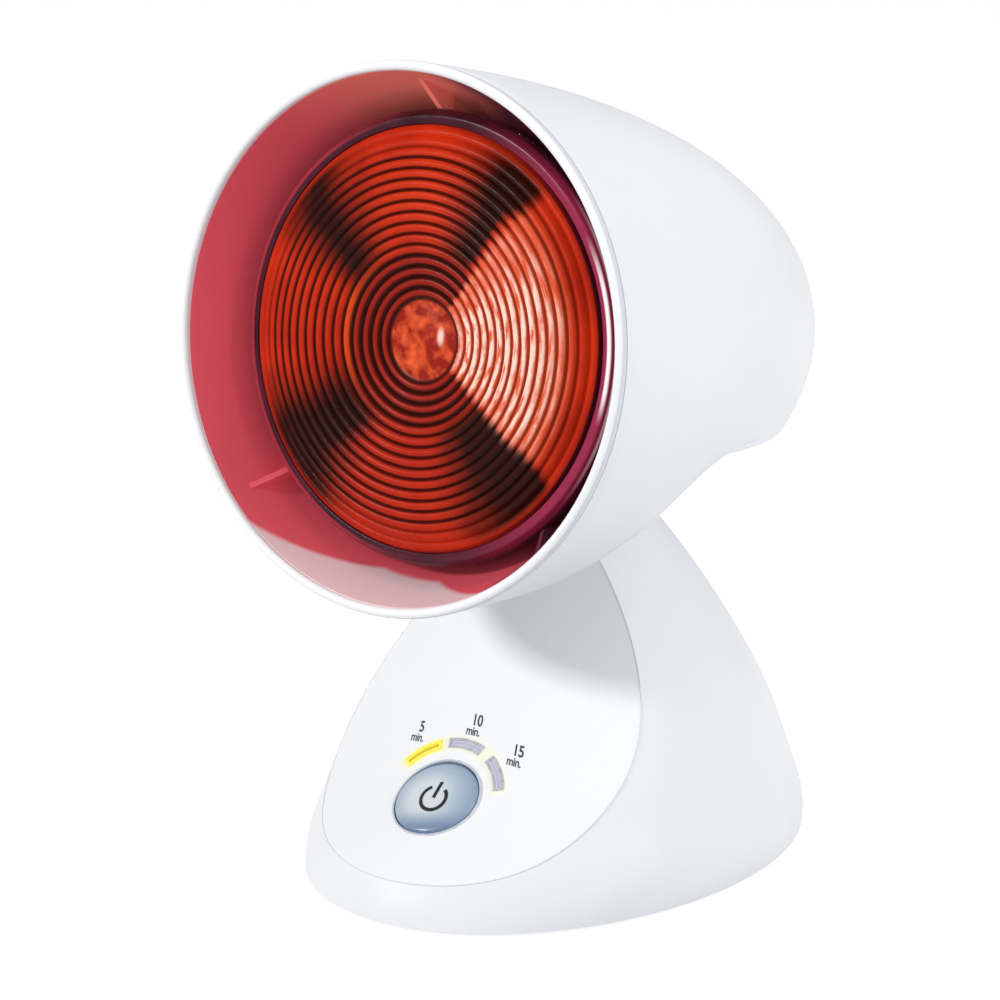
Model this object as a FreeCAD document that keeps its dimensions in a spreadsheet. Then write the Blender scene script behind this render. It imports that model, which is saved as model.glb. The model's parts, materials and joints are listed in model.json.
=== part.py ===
import FreeCAD, Part
import math
import os
import re

import Sketcher

# Table-top infrared heat lamp: an egg-shaped shade round a ribbed pressed-glass
# bulb, tilting on the neck of a domed base with an inclined, saddle-shaped
# control panel. Millimetres and degrees, +Z up, -Y towards the user, origin on
# the table under the middle of the base.

Vector = FreeCAD.Vector
Rotation = FreeCAD.Rotation
Placement = FreeCAD.Placement

LEFT = 1
RIGHT = -1

SIZES = {
    # Head: its axis runs backwards from the mouth and dips by the lean.
    "mouth_forward": 81.3,
    "mouth_height": 159.2,
    "head_lean": 5.5,
    # Shade: a body of revolution, r = R (1 - u^n)^(1/n), widest before the mouth.
    "shade_radius": 72.9,
    "shade_length": 198.3,
    "shade_lead": 12.0,
    "shade_power": 2.15,
    "shade_wall": 2.2,
    "shade_front": 1.0,
    # Underside: a sloping front wall that rolls over into a flat belly.
    "belly_drop": 28.0,
    "belly_corner": 65.0,
    "belly_slope": 48.5,
    "belly_round": 34.0,
    "belly_reach": 95.0,
    "belly_back": 200.0,
    "cover_wall": 2.2,
    "cover_edge_round": 2.0,
    "neck_gap": 0.4,
    # Air slots in the flat underside, beside the neck.
    "vent_start": 19.0,
    "vent_pitch": 6.0,
    "vent_half_width": 1.4,
    "vent_front": 98.0,
    "vent_step": 3.0,
    "vent_back": 126.0,
    # Mouth rim and liner.
    "rim_front": 1.375,
    "rim_inner_radius": 70.15,
    "rim_shelf_radius": 70.4,
    "rim_depth": 7.0,
    "liner_front_radius": 68.75,
    "liner_knee_depth": 22.0,
    "liner_knee_radius": 64.9,
    "liner_waist_depth": 40.0,
    "liner_waist_radius": 51.4,
    "liner_end_depth": 66.0,
    "liner_end_radius": 26.5,
    "liner_round": 60.0,
    "liner_wall": 1.2,
    "liner_gap": 0.5,
    "fin_wall": 1.6,
    "fin_lead": 2.0,
    "fin_gap": 0.15,
    "fin_top_angle": 90.0,
    "fin_left_angle": 221.0,
    "fin_right_angle": 311.0,
    # Bulb: pressed-glass reflector lamp, 122 across, with a screw cap.
    "bulb_radius": 61.0,
    "lens_level": 14.9,
    "lens_swell": 4.0,
    "lens_swell_power": 1.5,
    "lens_crest_share": 0.63,
    "lens_radius": 56.9,
    "lens_eye_radius": 11.2,
    "lens_wall": 2.6,
    "glass_edge": 2.0,
    "rib_height": 0.8,
    "seam_depth": 19.0,
    "reflector_round": 123.5,
    "reflector_wall": 1.8,
    "bulb_neck_radius": 22.0,
    "bulb_neck_front": 63.85,
    "bulb_neck_back": 92.0,
    "seam_step": 0.6,
    "seam_wall": 1.5,
    "collar_back": 103.0,
    "collar_radius": 15.8,
    "cap_radius": 13.2,
    "cap_wall": 1.2,
    "cap_lip": 2.0,
    "cap_front": 113.0,
    "cap_back": 138.0,
    "insulator_radius": 9.2,
    "contact_radius": 3.2,
    "contact_tip": 1.5,
    "contact_back": 144.0,
    "filament_depth": 52.0,
    "filament_half_width": 9.0,
    "filament_wire": 0.8,
    # Lampholder and its bracket.
    "socket_radius": 21.5,
    "socket_front": 121.0,
    "socket_back": 158.0,
    "socket_bore": 14.6,
    "socket_floor": 147.0,
    "socket_bevel": 2.0,
    "socket_step": 3.0,
    "socket_shell_wall": 0.6,
    "socket_shell_hole": 8.6,
    "bracket_wall": 1.6,
    "bracket_half_width": 15.0,
    "bracket_front": 119.0,
    "bracket_top": 17.0,
    "socket_screw_spacing": 11.0,
    "small_screw_radius": 1.6,
    "small_screw_head": 3.0,
    "small_screw_head_wall": 2.0,
    "small_screw_reach": 6.0,
    # Tilt joint, in the head's own depth and drop below its axis.
    "pivot_depth": 98.56,
    "pivot_drop": 49.95,
    "neck_half_width": 11.5,
    "neck_radius": 8.0,
    "neck_flange_front": 84.0,
    "neck_flange_back": 113.0,
    "neck_flange_wall": 2.2,
    "axle_radius": 3.0,
    "axle_half_length": 15.0,
    "axle_clearance": 0.05,
    "washer_radius": 7.2,
    "washer_wall": 1.0,
    "pivot_back": 12.0,
    "pivot_height": 100.0,
    "arc_margin": 0.001,
    "slot_half_width": 12.6,
    "slot_radius": 8.4,
    "slot_front_angle": 11.0,
    "slot_back_angle": 45.0,
    "slot_reach": 26.0,
    "axle_cap_radius": 4.5,
    # Base dome: elliptical sections, their long axis fore and aft, that shrink by
    # a power of the height.
    "quarter_turn": 90.0,
    "foot_half_width": 65.79,
    "foot_half_depth": 89.61,
    "width_fall": 0.741,
    "width_power": 2.042,
    "depth_fall": 0.756,
    "depth_power": 1.31,
    "lean_linear": 3.824,
    "lean_square": 6.976,
    "crown_height": 112.0,
    "crown_half_width": 16.4,
    "crown_half_depth": 16.6,
    "crown_back": 12.3,
    "shell_wall": 2.5,
    # Control panel: the inside of a ring surface, dished lengthwise, crowned across.
    "panel_tip_forward": 81.6,
    "panel_tip_height": 14.1,
    "panel_tip_slope": 32.13,
    "panel_dish_radius": 190.2,
    "panel_crown_radius": 135.0,
    "panel_wall": 2.2,
    # Start button and timer lights, placed along the panel's middle line.
    "button_arc": 24.4,
    "button_half_length": 12.55,
    "button_half_width": 11.75,
    "button_turn": 20.0,
    "button_gap": 0.35,
    "button_skirt": 2.2,
    "button_dome_radius": 60.0,
    "button_proud": 1.9,
    "button_edge_round": 0.7,
    "ring_width": 0.6,
    "ring_proud": 0.45,
    "ring_skirt": 3.0,
    "light_inner_radius": 16.7,
    "light_outer_radius": 19.8,
    "light_border": 0.75,
    "light_border_angle": 2.2,
    "frame_proud": 0.35,
    "light_proud": 0.15,
    "light_5_start": 114.0,
    "light_5_end": 150.0,
    "light_10_start": 70.0,
    "light_10_end": 106.0,
    "light_15_start": 23.0,
    "light_15_end": 58.0,
    # Control electronics behind the panel.
    "board_depth": 11.0,
    "board_wall": 1.6,
    "board_half_width": 23.0,
    "board_front": 14.0,
    "board_back": 27.0,
    "post_radius": 2.4,
    "post_side": 19.0,
    "post_front": 10.0,
    "post_back": 23.0,
    "switch_size": 12.0,
    "switch_top": 4.4,
    "plunger_radius": 1.7,
    "plunger_gap": 0.2,
    "plunger_end": 6.4,
    "switch_floor": 2.0,
    "diode_radius": 1.5,
    "diode_top": 4.0,
    "relay_length": 19.0,
    "relay_width": 15.0,
    "relay_height": 14.0,
    "relay_back": 2.0,
    # Bottom plate, ballast, feet and screws.
    "plate_side_gap": 0.4,
    "plate_end_gap": 1.4,
    "plate_low": 1.2,
    "plate_wall": 2.2,
    "ballast_half_width": 44.0,
    "ballast_half_depth": 26.0,
    "ballast_forward": 4.0,
    "ballast_wall": 10.0,
    "foot_radius": 7.5,
    "foot_spigot_radius": 2.5,
    "foot_side": 38.0,
    "foot_front": 50.0,
    "foot_back": 54.0,
    "boss_radius": 4.0,
    "boss_side": 44.0,
    "boss_along": 38.0,
    "boss_top": 60.0,
    "bottom_screw_radius": 1.6,
    "bottom_screw_head": 3.2,
    "bottom_screw_head_wall": 1.2,
    "bottom_screw_length": 14.0,
    "pilot_spare": 2.0,
    # Mains side: transformer, terminals and the inlet gland.
    "transformer_width": 38.0,
    "transformer_depth": 28.0,
    "transformer_height": 26.0,
    "transformer_front": 28.0,
    "terminal_width": 24.0,
    "terminal_depth": 11.0,
    "terminal_height": 12.0,
    "terminal_front": 60.0,
    "gland_height": 14.0,
    "gland_radius": 5.5,
    "gland_bore": 3.6,
    "gland_bevel": 1.2,
    "gland_front": 77.0,
    "gland_back": 88.6,
}

SECTION_HEIGHTS = (1, 20, 40, 60, 76, 88, 97)
CAVITY_HEIGHTS = (0, 20, 40, 60, 80)
RIB_COUNT = 16
VENT_COUNT = 3
SHADE_CURVE_STEPS = 10

document = FreeCAD.newDocument("heat_lamp")
sheet = document.addObject("Spreadsheet::Sheet", "sizes")
for row, (alias, value) in enumerate(SIZES.items(), start=1):
    sheet.set(f"A{row}", alias)
    sheet.set(f"B{row}", str(value))
    sheet.setAlias(f"B{row}", alias)
document.recompute()

parts = {}


# ---------------------------------------------------------------- formulas

def sheet_formula(text):
    """Put the sheet's name before every alias in a formula."""
    return re.sub(r"[a-z]\w+", lambda word: f"sizes.{word[0]}" if word[0] in SIZES else word[0], str(text))


def size(formula):
    """Value of a formula of aliases as a plain number."""
    value = sheet.evalExpression(sheet_formula(formula))
    return float(getattr(value, "Value", value))


def bind(thing, formulas):
    """Tie properties of a document object to formulas of the sheet."""
    for path, formula in formulas.items():
        thing.setExpression(path, sheet_formula(formula))
    return thing


# ---------------------------------------------------------------- frames

DISH_Y = "-(panel_tip_forward + panel_dish_radius * sin(panel_tip_slope))"
DISH_Z = "(panel_tip_height + panel_dish_radius * cos(panel_tip_slope))"
BUTTON_SLOPE = "(panel_tip_slope + button_arc / panel_dish_radius * 180 / pi)"


def place(thing, base, axis=Vector(0, 0, 1), angle="0"):
    """Give a document object a Placement bound to the sheet."""
    thing.Placement = Placement(Vector(*(size(value) for value in base)), Rotation(axis, size(angle)))
    formulas = {f"Placement.Base.{name}": value for name, value in zip("xyz", base)}
    if angle != "0":
        formulas["Placement.Rotation.Angle"] = angle
    return bind(thing, formulas)


def seat_in_head(thing):
    """Put a piece drawn on the head's axis (Y backwards from the mouth) into the world."""
    return place(thing, ("0", "-mouth_forward", "mouth_height"), Vector(-1, 0, 0), "head_lean")


def seat_on_panel(thing):
    """Put a piece drawn on the button's axis (Z along the panel's normal) into the world."""
    base = (
        "0",
        f"{DISH_Y} + panel_dish_radius * sin({BUTTON_SLOPE})",
        f"{DISH_Z} - panel_dish_radius * cos({BUTTON_SLOPE})",
    )
    return place(thing, base, Vector(1, 0, 0), BUTTON_SLOPE)


def keep(name, thing):
    """Make a document object the sub-part of this name."""
    thing.Label = name
    parts[name] = thing
    return thing


# ---------------------------------------------------------------- outlines

def round_edge(start, finish, radius, turn):
    """Arc from start to finish that turns LEFT or RIGHT with the given radius."""
    chord = finish - start
    rise = math.sqrt(radius ** 2 - (chord.Length / 2) ** 2)
    side = Vector(-chord.y, chord.x, 0).normalize() * turn
    centre = (start + finish) / 2 + side * rise
    return Part.Arc(start, centre - side * radius, finish)


def draw_outline(sketch, corners, arcs=None):
    """Draw a closed outline whose corners and arc radii follow formulas of the sheet."""
    arcs = arcs or {}
    points = [Vector(size(across), size(up), 0) for across, up in corners]
    starts = []
    finishes = []
    for index, start in enumerate(points):
        finish = points[(index + 1) % len(points)]
        if index in arcs:
            radius, turn = arcs[index]
            edge = sketch.addGeometry(round_edge(start, finish, size(radius), turn))
        else:
            edge = sketch.addGeometry(Part.LineSegment(start, finish))
        begins = (sketch.getPoint(edge, 1) - start).Length < (sketch.getPoint(edge, 1) - finish).Length
        starts.append((edge, 1 if begins else 2))
        finishes.append((edge, 2 if begins else 1))
    for index, start in enumerate(starts):
        sketch.addConstraint(Sketcher.Constraint("Coincident", *finishes[index - 1], *start))
        for kind, axis, formula, value in (
            ("DistanceX", -2, corners[index][0], points[index].x),
            ("DistanceY", -1, corners[index][1], points[index].y),
        ):
            if abs(value) < 1e-7:
                sketch.addConstraint(Sketcher.Constraint("PointOnObject", *start, axis))
                continue
            number = sketch.addConstraint(Sketcher.Constraint(kind, -1, 1, *start, value))
            sketch.setExpression(f"Constraints[{number}]", sheet_formula(formula))
    for index, (radius, _) in arcs.items():
        number = sketch.addConstraint(Sketcher.Constraint("Radius", starts[index][0], size(radius)))
        sketch.setExpression(f"Constraints[{number}]", sheet_formula(radius))
    return sketch


def plane_sketch(body, role, name):
    """Empty sketch on one of a body's own origin planes."""
    sketch = body.newObject("Sketcher::SketchObject", name)
    plane = [feature for feature in body.Origin.OriginFeatures if feature.Role == role][0]
    sketch.AttachmentSupport = [(plane, "")]
    sketch.MapMode = "FlatFace"
    return sketch


def body_sketch(body, role, corners, arcs=None):
    """Outline on one of a body's own origin planes."""
    return draw_outline(plane_sketch(body, role, f"{body.Name}_outline"), corners, arcs)


def turned(name, corners, arcs=None, plane="YZ_Plane", axis="H_Axis"):
    """Body turned about an axis of its sketch, by default the head's own axis."""
    body = document.addObject("PartDesign::Body", name)
    sketch = body_sketch(body, plane, corners, arcs)
    turn = body.newObject("PartDesign::Revolution", f"{name}_turn")
    turn.Profile = sketch
    turn.ReferenceAxis = (sketch, [axis])
    turn.Angle = 360
    return keep(name, body)


def padded(name, plane, corners, length, arcs=None, midplane=False):
    """Body pressed out of one of its origin planes."""
    body = document.addObject("PartDesign::Body", name)
    pad = body.newObject("PartDesign::Pad", f"{name}_pad")
    pad.Profile = body_sketch(body, plane, corners, arcs)
    pad.Midplane = midplane
    bind(pad, {"Length": length})
    return body


def bore_through(body, plane, across, up, radius):
    """Cut a round hole right through a body, square to one of its origin planes."""
    sketch = plane_sketch(body, plane, f"{body.Name}_bore_outline")
    centre = Vector(size(across), size(up), 0)
    circle = sketch.addGeometry(Part.Circle(centre, Vector(0, 0, 1), size(radius)))
    for kind, formula, value in (("DistanceX", across, centre.x), ("DistanceY", up, centre.y)):
        number = sketch.addConstraint(Sketcher.Constraint(kind, -1, 1, circle, 3, value))
        sketch.setExpression(f"Constraints[{number}]", sheet_formula(formula))
    number = sketch.addConstraint(Sketcher.Constraint("Radius", circle, size(radius)))
    sketch.setExpression(f"Constraints[{number}]", sheet_formula(radius))
    pocket = body.newObject("PartDesign::Pocket", f"{body.Name}_bore")
    pocket.Profile = sketch
    pocket.Type = "ThroughAll"
    pocket.Midplane = True


def rectangle(left, low, right, high):
    """Corners of a rectangle, as formulas."""
    return [(left, low), (right, low), (right, high), (left, high)]


# ---------------------------------------------------------------- simple forms

def solid(kind, name, formulas):
    """Part primitive with bound sizes."""
    return bind(document.addObject(f"Part::{kind}", name), formulas)


def rod(name, radius, length, base, axis=Vector(0, 0, 1), angle="0"):
    """Cylinder of a bound radius and length, standing at base."""
    return place(solid("Cylinder", name, {"Radius": radius, "Height": length}), base, axis, angle)


def rod_across(name, radius, half_length, depth, height):
    """Cylinder along X, centred on the middle plane."""
    base = (f"-({half_length})", depth, height)
    rod_x = rod(name, radius, f"2 * ({half_length})", base)
    rod_x.Placement = Placement(rod_x.Placement.Base, Rotation(Vector(0, 1, 0), 90))
    return rod_x


def block(name, spans):
    """Box between bound limits, given as (low, high) for each axis."""
    lengths = zip(("Length", "Width", "Height"), spans)
    box = solid("Box", name, {side: f"({high}) - ({low})" for side, (low, high) in lengths})
    return place(box, [low for low, _ in spans])


def combine(kind, name, base, tool):
    """Boolean of two document objects: Cut, Fuse or Common."""
    result = document.addObject(f"Part::{kind}", name)
    result.Base = base
    result.Tool = tool
    return result


def gather(name, things):
    """Group of separate solids."""
    group = document.addObject("Part::Compound", name)
    group.Links = things
    return group


def union(name, things):
    """All of the things as one tool."""
    joined = document.addObject("Part::MultiFuse", name)
    joined.Shapes = things
    return joined


def pressed(name, corners, arcs, length):
    """Outline in the head's side plane (Y, Z), pressed out evenly to both sides along X."""
    sketch = document.addObject("Sketcher::SketchObject", f"{name}_outline")
    sketch.Placement = Placement(Vector(), Rotation(Vector(1, 1, 1), 120))
    draw_outline(sketch, corners, arcs)
    press = document.addObject("Part::Extrusion", name)
    press.Base = sketch
    press.DirMode = "Normal"
    press.Symmetric = True
    press.Solid = True
    return bind(press, {"LengthFwd": length})


def raised(name, outline, low, high):
    """Outline pressed along Z between two heights of its own frame."""
    press = document.addObject("Part::Extrusion", name)
    press.Base = outline
    press.DirMode = "Custom"
    press.Dir = Vector(0, 0, 1)
    press.Solid = True
    bind(press, {"LengthFwd": high, "LengthRev": f"-({low})"})
    return press


def ellipse(name, half_length, half_width, turn="0"):
    """Ellipse about the origin, its long half-axis turned from X."""
    curve = solid("Ellipse", name, {"MajorRadius": half_length, "MinorRadius": half_width})
    return place(curve, ("0", "0", "0"), Vector(0, 0, 1), turn)


# ---------------------------------------------------------------- shade

def egg(name, radius, length, front):
    """Solid of revolution of the shade's curve from a given depth to its tail."""
    power = size("shade_power")
    reach = size(length)
    start = math.asin(((front + size("shade_lead")) / reach) ** (power / 2))
    points = []
    for step in range(SHADE_CURVE_STEPS + 1):
        angle = start + (math.pi / 2 - start) * step / SHADE_CURVE_STEPS
        depth = reach * math.sin(angle) ** (2 / power) - size("shade_lead")
        across = size(radius) * max(math.cos(angle), 0.0) ** (2 / power)
        points.append(Vector(0, depth, across))
    points[-1].z = 0.0
    fall = size(radius) / reach * math.tan(start) ** (2 - 2 / power)
    curve = Part.BSplineCurve()
    curve.interpolate(Points=points, InitialTangent=Vector(0, 1, -fall), FinalTangent=Vector(0, 0, -1))
    mouth = Vector(0, points[0].y, 0)
    outline = Part.Wire([
        curve.toShape(),
        Part.makeLine(points[-1], mouth),
        Part.makeLine(mouth, points[0]),
    ])
    form = document.addObject("Part::Feature", name)
    form.Shape = Part.Face(outline).revolve(Vector(), Vector(0, 1, 0), 360)
    return form


def belly_outline(lift):
    """Side outline of the space under the shade, its edge lifted into the shade."""
    slope = "belly_slope"
    corner_depth = f"(belly_corner - {lift} * tan({slope} / 2))"
    corner_drop = f"(belly_drop - {lift})"
    radius = f"(belly_round + {lift})"
    tangent = f"({radius} * tan({slope} / 2))"
    run = "(belly_reach - belly_drop)"
    return [
        (f"{corner_depth} - {run} / tan({slope})", f"-({corner_drop} + {run})"),
        ("belly_back", f"-({corner_drop} + {run})"),
        ("belly_back", f"-{corner_drop}"),
        (f"{corner_depth} + {tangent}", f"-{corner_drop}"),
        (f"{corner_depth} - {tangent} * cos({slope})", f"-({corner_drop} + {tangent} * sin({slope}))"),
    ], {3: (radius, LEFT)}


def belly_space(name, lift):
    """The space under the shade as a solid."""
    corners, arcs = belly_outline(lift)
    return pressed(name, corners, arcs, "4 * shade_radius")


def make_shade():
    """Shade shell, the cover of its flat underside, rim, liner and fins."""
    outer = egg("shade_form", "shade_radius", "shade_length", size("shade_front"))
    inner = egg("shade_core", "shade_radius - shade_wall", "shade_length - shade_wall", 0.0)
    shell = combine("Cut", "shade_hollow", outer, inner)
    above = belly_space("belly_above_cover", "cover_wall")
    below = belly_space("belly_below_cover", "0")
    seat_in_head(keep("shade_shell", combine("Cut", "shade_shell", shell, above)))

    slab = combine("Cut", "cover_slab", above, below)
    cover = combine("Common", "cover_form", outer, slab)
    document.recompute()
    rounded = document.addObject("Part::Fillet", "cover_rounded")
    rounded.Base = cover
    radius = size("cover_edge_round")
    rounded.Edges = [(number, radius, radius) for number in lower_rim_edges(cover.Shape, below.Shape)]
    through = ("-belly_drop - cover_wall", "-belly_drop + 2 * cover_wall")
    opening = block("cover_opening", [
        ("-neck_half_width - neck_gap", "neck_half_width + neck_gap"),
        ("pivot_depth - neck_radius - neck_gap", "pivot_depth + neck_radius + neck_gap"),
        through,
    ])
    tools = union("cover_openings", [opening] + [vent_slot(side * number, through)
                                                for side in (LEFT, RIGHT)
                                                for number in range(1, VENT_COUNT + 1)])
    seat_in_head(keep("underside_cover", combine("Cut", "underside_cover", rounded, tools)))

    seat_in_head(turned("mouth_rim", [
        ("rim_depth", "liner_front_radius"),
        ("rim_depth", "rim_shelf_radius"),
        ("shade_front", "rim_shelf_radius"),
        ("shade_front", "shade_radius"),
        ("0", "shade_radius"),
        ("0", "rim_inner_radius"),
    ], {4: ("rim_front + arc_margin", LEFT)}))

    turned("liner_blank", [
        ("rim_depth", "liner_front_radius"),
        ("liner_knee_depth", "liner_knee_radius"),
        ("liner_waist_depth", "liner_waist_radius"),
        ("liner_end_depth", "liner_end_radius"),
        ("liner_end_depth + 0.7 * liner_wall", "liner_end_radius + 0.7 * liner_wall"),
        ("liner_waist_depth + 0.7 * liner_wall", "liner_waist_radius + 0.7 * liner_wall"),
        ("liner_knee_depth + 0.3 * liner_wall", "liner_knee_radius + 0.95 * liner_wall"),
        ("rim_depth", "liner_front_radius + 1.03 * liner_wall"),
    ], {1: ("liner_round", RIGHT), 5: ("liner_round + liner_wall", LEFT)})
    under_liner = belly_space("belly_under_liner", "(cover_wall + liner_gap)")
    seat_in_head(keep("heat_liner", combine("Cut", "heat_liner", parts.pop("liner_blank"), under_liner)))

    slant = "(liner_front_radius - liner_knee_radius) / (liner_knee_depth - rim_depth)"
    fins = []
    for name in ("top", "left", "right"):
        fin = pressed(f"fin_{name}", [
            ("rim_depth", "liner_front_radius"),
            ("seam_depth - fin_lead", "bulb_radius + fin_gap"),
            ("liner_knee_depth", "bulb_radius + fin_gap"),
            ("liner_knee_depth", f"liner_front_radius - {slant} * (liner_knee_depth - rim_depth)"),
        ], {}, "fin_wall")
        fins.append(place(fin, ("0", "0", "0"), Vector(0, -1, 0), f"fin_{name}_angle - 90"))
    seat_in_head(keep("centring_fins", gather("centring_fins", fins)))
    return outer


def vent_slot(number, through):
    """Round-ended slot through the flat underside, counted outwards from the neck."""
    side = math.copysign(1, number)
    across = f"{side} * (vent_start + {abs(number) - 1} * vent_pitch)"
    ends = [f"vent_front + {abs(number) - 1} * vent_step", "vent_back"]
    name = f"vent_{'left' if number < 0 else 'right'}_{abs(number)}"
    slot = block(name, [(f"{across} - vent_half_width", f"{across} + vent_half_width"), ends, through])
    low, high = through
    length = f"({high}) - ({low})"
    rounds = [rod(f"{name}_end", "vent_half_width", length, (across, end, low)) for end in ends]
    return union(f"{name}_slot", [slot] + rounds)


def lower_rim_edges(cover, below):
    """Numbers of the cover's edges where its underside meets the shade's outer surface."""
    numbers = []
    for number, edge in enumerate(cover.Edges, start=1):
        middle = edge.valueAt((edge.FirstParameter + edge.LastParameter) / 2)
        on_underside = below.distToShape(Part.Vertex(middle))[0] < 0.01
        across_middle = edge.BoundBox.XMin * edge.BoundBox.XMax < -1 and edge.BoundBox.YLength < 0.01
        if on_underside and not across_middle:
            numbers.append(number)
    return numbers


# ---------------------------------------------------------------- bulb

def lens_depth(radius):
    """Depth of the lens's front at a radius, as a formula: level at the eye and edge, swollen between."""
    way = f"(((({radius}) - lens_eye_radius) / (lens_radius - lens_eye_radius))^lens_swell_power)"
    return f"lens_level - 4 * lens_swell * {way} * (1 - {way})"


def make_bulb():
    """Ribbed front lens, reflector, cap, contact and filament."""
    front = [("lens_level", "0"), ("lens_level", "lens_eye_radius")]
    pitch = f"(lens_radius - lens_eye_radius) / {RIB_COUNT}"
    for rib in range(RIB_COUNT):
        crest = f"(lens_eye_radius + ({rib} + 0.5) * {pitch})"
        valley = f"(lens_eye_radius + ({rib} + 1) * {pitch})"
        front.append((f"{lens_depth(crest)} - rib_height", crest))
        front.append((lens_depth(valley), valley))
    back = [
        ("lens_level + glass_edge / 2", "bulb_radius - glass_edge / 2"),
        ("lens_level + glass_edge", "bulb_radius"),
        ("seam_depth", "bulb_radius"),
        ("seam_depth", "lens_radius"),
        ("lens_level + lens_wall", "lens_radius - 1"),
        ("lens_level - lens_swell + lens_wall", "lens_eye_radius + (lens_radius - lens_eye_radius) * lens_crest_share"),
        ("lens_level + lens_wall", "lens_eye_radius"),
        ("lens_level + lens_wall", "0"),
    ]
    seat_in_head(turned("bulb_lens", front + back))

    wall = "reflector_wall"
    skirt = "(bulb_radius - seam_step)"
    seat_in_head(turned("bulb_reflector", [
        ("seam_depth", "bulb_radius"),
        ("seam_depth + seam_wall", skirt),
        ("bulb_neck_front", "bulb_neck_radius"),
        ("bulb_neck_back", "bulb_neck_radius"),
        ("collar_back", "collar_radius"),
        ("cap_front", "cap_radius"),
        ("cap_front", f"cap_radius - {wall}"),
        (f"collar_back - {wall} / 2", f"collar_radius - {wall}"),
        (f"bulb_neck_back - {wall} / 3", f"bulb_neck_radius - {wall}"),
        (f"bulb_neck_front + {wall} / 3", f"bulb_neck_radius - {wall}"),
        ("seam_depth + seam_wall", f"{skirt} - 1.15 * {wall}"),
        ("seam_depth", f"{skirt} - 1.15 * {wall}"),
    ], {1: ("reflector_round", RIGHT), 9: (f"reflector_round - {wall}", LEFT)}))

    seat_in_head(turned("bulb_cap", [
        ("cap_front", "cap_radius - cap_wall"),
        ("cap_front", "cap_radius"),
        ("cap_back", "cap_radius"),
        ("cap_back + cap_lip", "cap_radius - cap_wall - cap_lip"),
        ("cap_back + cap_lip", "insulator_radius - cap_wall"),
        ("cap_back - cap_lip / 2", "cap_radius - cap_wall"),
    ]))
    seat_in_head(turned("bulb_contact", [
        ("cap_back + cap_lip", "0"),
        ("cap_back + cap_lip", "insulator_radius"),
        ("contact_back - contact_tip", "insulator_radius / 2"),
        ("contact_back - contact_tip", "contact_radius"),
        ("contact_back", "contact_radius - contact_tip / 2"),
        ("contact_back", "0"),
    ]))

    half = "filament_half_width"
    length = "cap_front - filament_depth"
    wires = [
        rod_across("filament_coil", "1.5 * filament_wire", half, "filament_depth", "0"),
        rod("filament_left", "filament_wire", length, (f"-{half}", "filament_depth", "0")),
        rod("filament_right", "filament_wire", length, (half, "filament_depth", "0")),
    ]
    for wire in wires[1:]:
        wire.Placement = Placement(wire.Placement.Base, Rotation(Vector(1, 0, 0), -90))
    seat_in_head(keep("bulb_filament", union("bulb_filament", wires)))


# ---------------------------------------------------------------- lampholder and tilt neck

def make_socket():
    """Ceramic lampholder, its metal shell and contact, bracket and screws."""
    seat_in_head(turned("lamp_socket", [
        ("socket_front", "socket_bore"),
        ("socket_front", "socket_radius - socket_bevel"),
        ("socket_front + socket_bevel", "socket_radius"),
        ("socket_floor", "socket_radius"),
        ("socket_floor + socket_step", "socket_radius - socket_step"),
        ("socket_back", "socket_radius - socket_step"),
        ("socket_back", "0"),
        ("socket_floor", "0"),
        ("socket_floor", "socket_bore"),
    ]))
    seat_in_head(turned("socket_shell", [
        ("socket_front + socket_bevel", "socket_bore - socket_shell_wall"),
        ("socket_front + socket_bevel", "socket_bore"),
        ("socket_floor", "socket_bore"),
        ("socket_floor", "socket_shell_hole"),
        ("socket_floor - socket_shell_wall", "socket_shell_hole"),
        ("socket_floor - socket_shell_wall", "socket_bore - socket_shell_wall"),
    ]))
    seat_in_head(turned("socket_contact", [
        ("contact_back", "0"),
        ("contact_back", "contact_radius"),
        ("socket_floor", "contact_radius + 1"),
        ("socket_floor", "0"),
    ]))

    floor = "-(belly_drop - cover_wall)"
    wall = "bracket_wall"
    bracket = keep("socket_bracket", padded("socket_bracket", "YZ_Plane", [
        ("bracket_front", floor),
        (f"socket_back + {wall}", floor),
        (f"socket_back + {wall}", "bracket_top"),
        ("socket_back", "bracket_top"),
        ("socket_back", f"{floor} + {wall}"),
        ("bracket_front", f"{floor} + {wall}"),
    ], "2 * bracket_half_width", midplane=True))
    seat_in_head(bracket)
    screws = []
    for name, side in (("left", "-1"), ("right", "1")):
        spot = f"{side} * socket_screw_spacing"
        shank = rod(f"socket_shank_{name}", "small_screw_radius", f"{wall} + small_screw_reach",
                    (spot, "socket_back - small_screw_reach", "0"))
        head = rod(f"socket_head_{name}", "small_screw_head", "small_screw_head_wall",
                   (spot, f"socket_back + {wall}", "0"))
        for piece in (shank, head):
            piece.Placement = Placement(piece.Placement.Base, Rotation(Vector(1, 0, 0), -90))
        screws.append(combine("Fuse", f"socket_screw_{name}", shank, head))
    holes = gather("socket_screw_holes", screws)
    for name in ("lamp_socket", "socket_bracket"):
        drill_later(name, holes)
    seat_in_head(keep("socket_screws", gather("socket_screws", screws)))


def drill_later(name, tool):
    """Cut a tool drawn in the head's frame out of a piece already seated there."""
    piece = parts[name]
    piece.Label = f"{name}_blank"
    moved = seat_in_head(gather(f"{name}_drill", [tool]))
    keep(name, combine("Cut", f"{name}_drilled", piece, moved))


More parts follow.
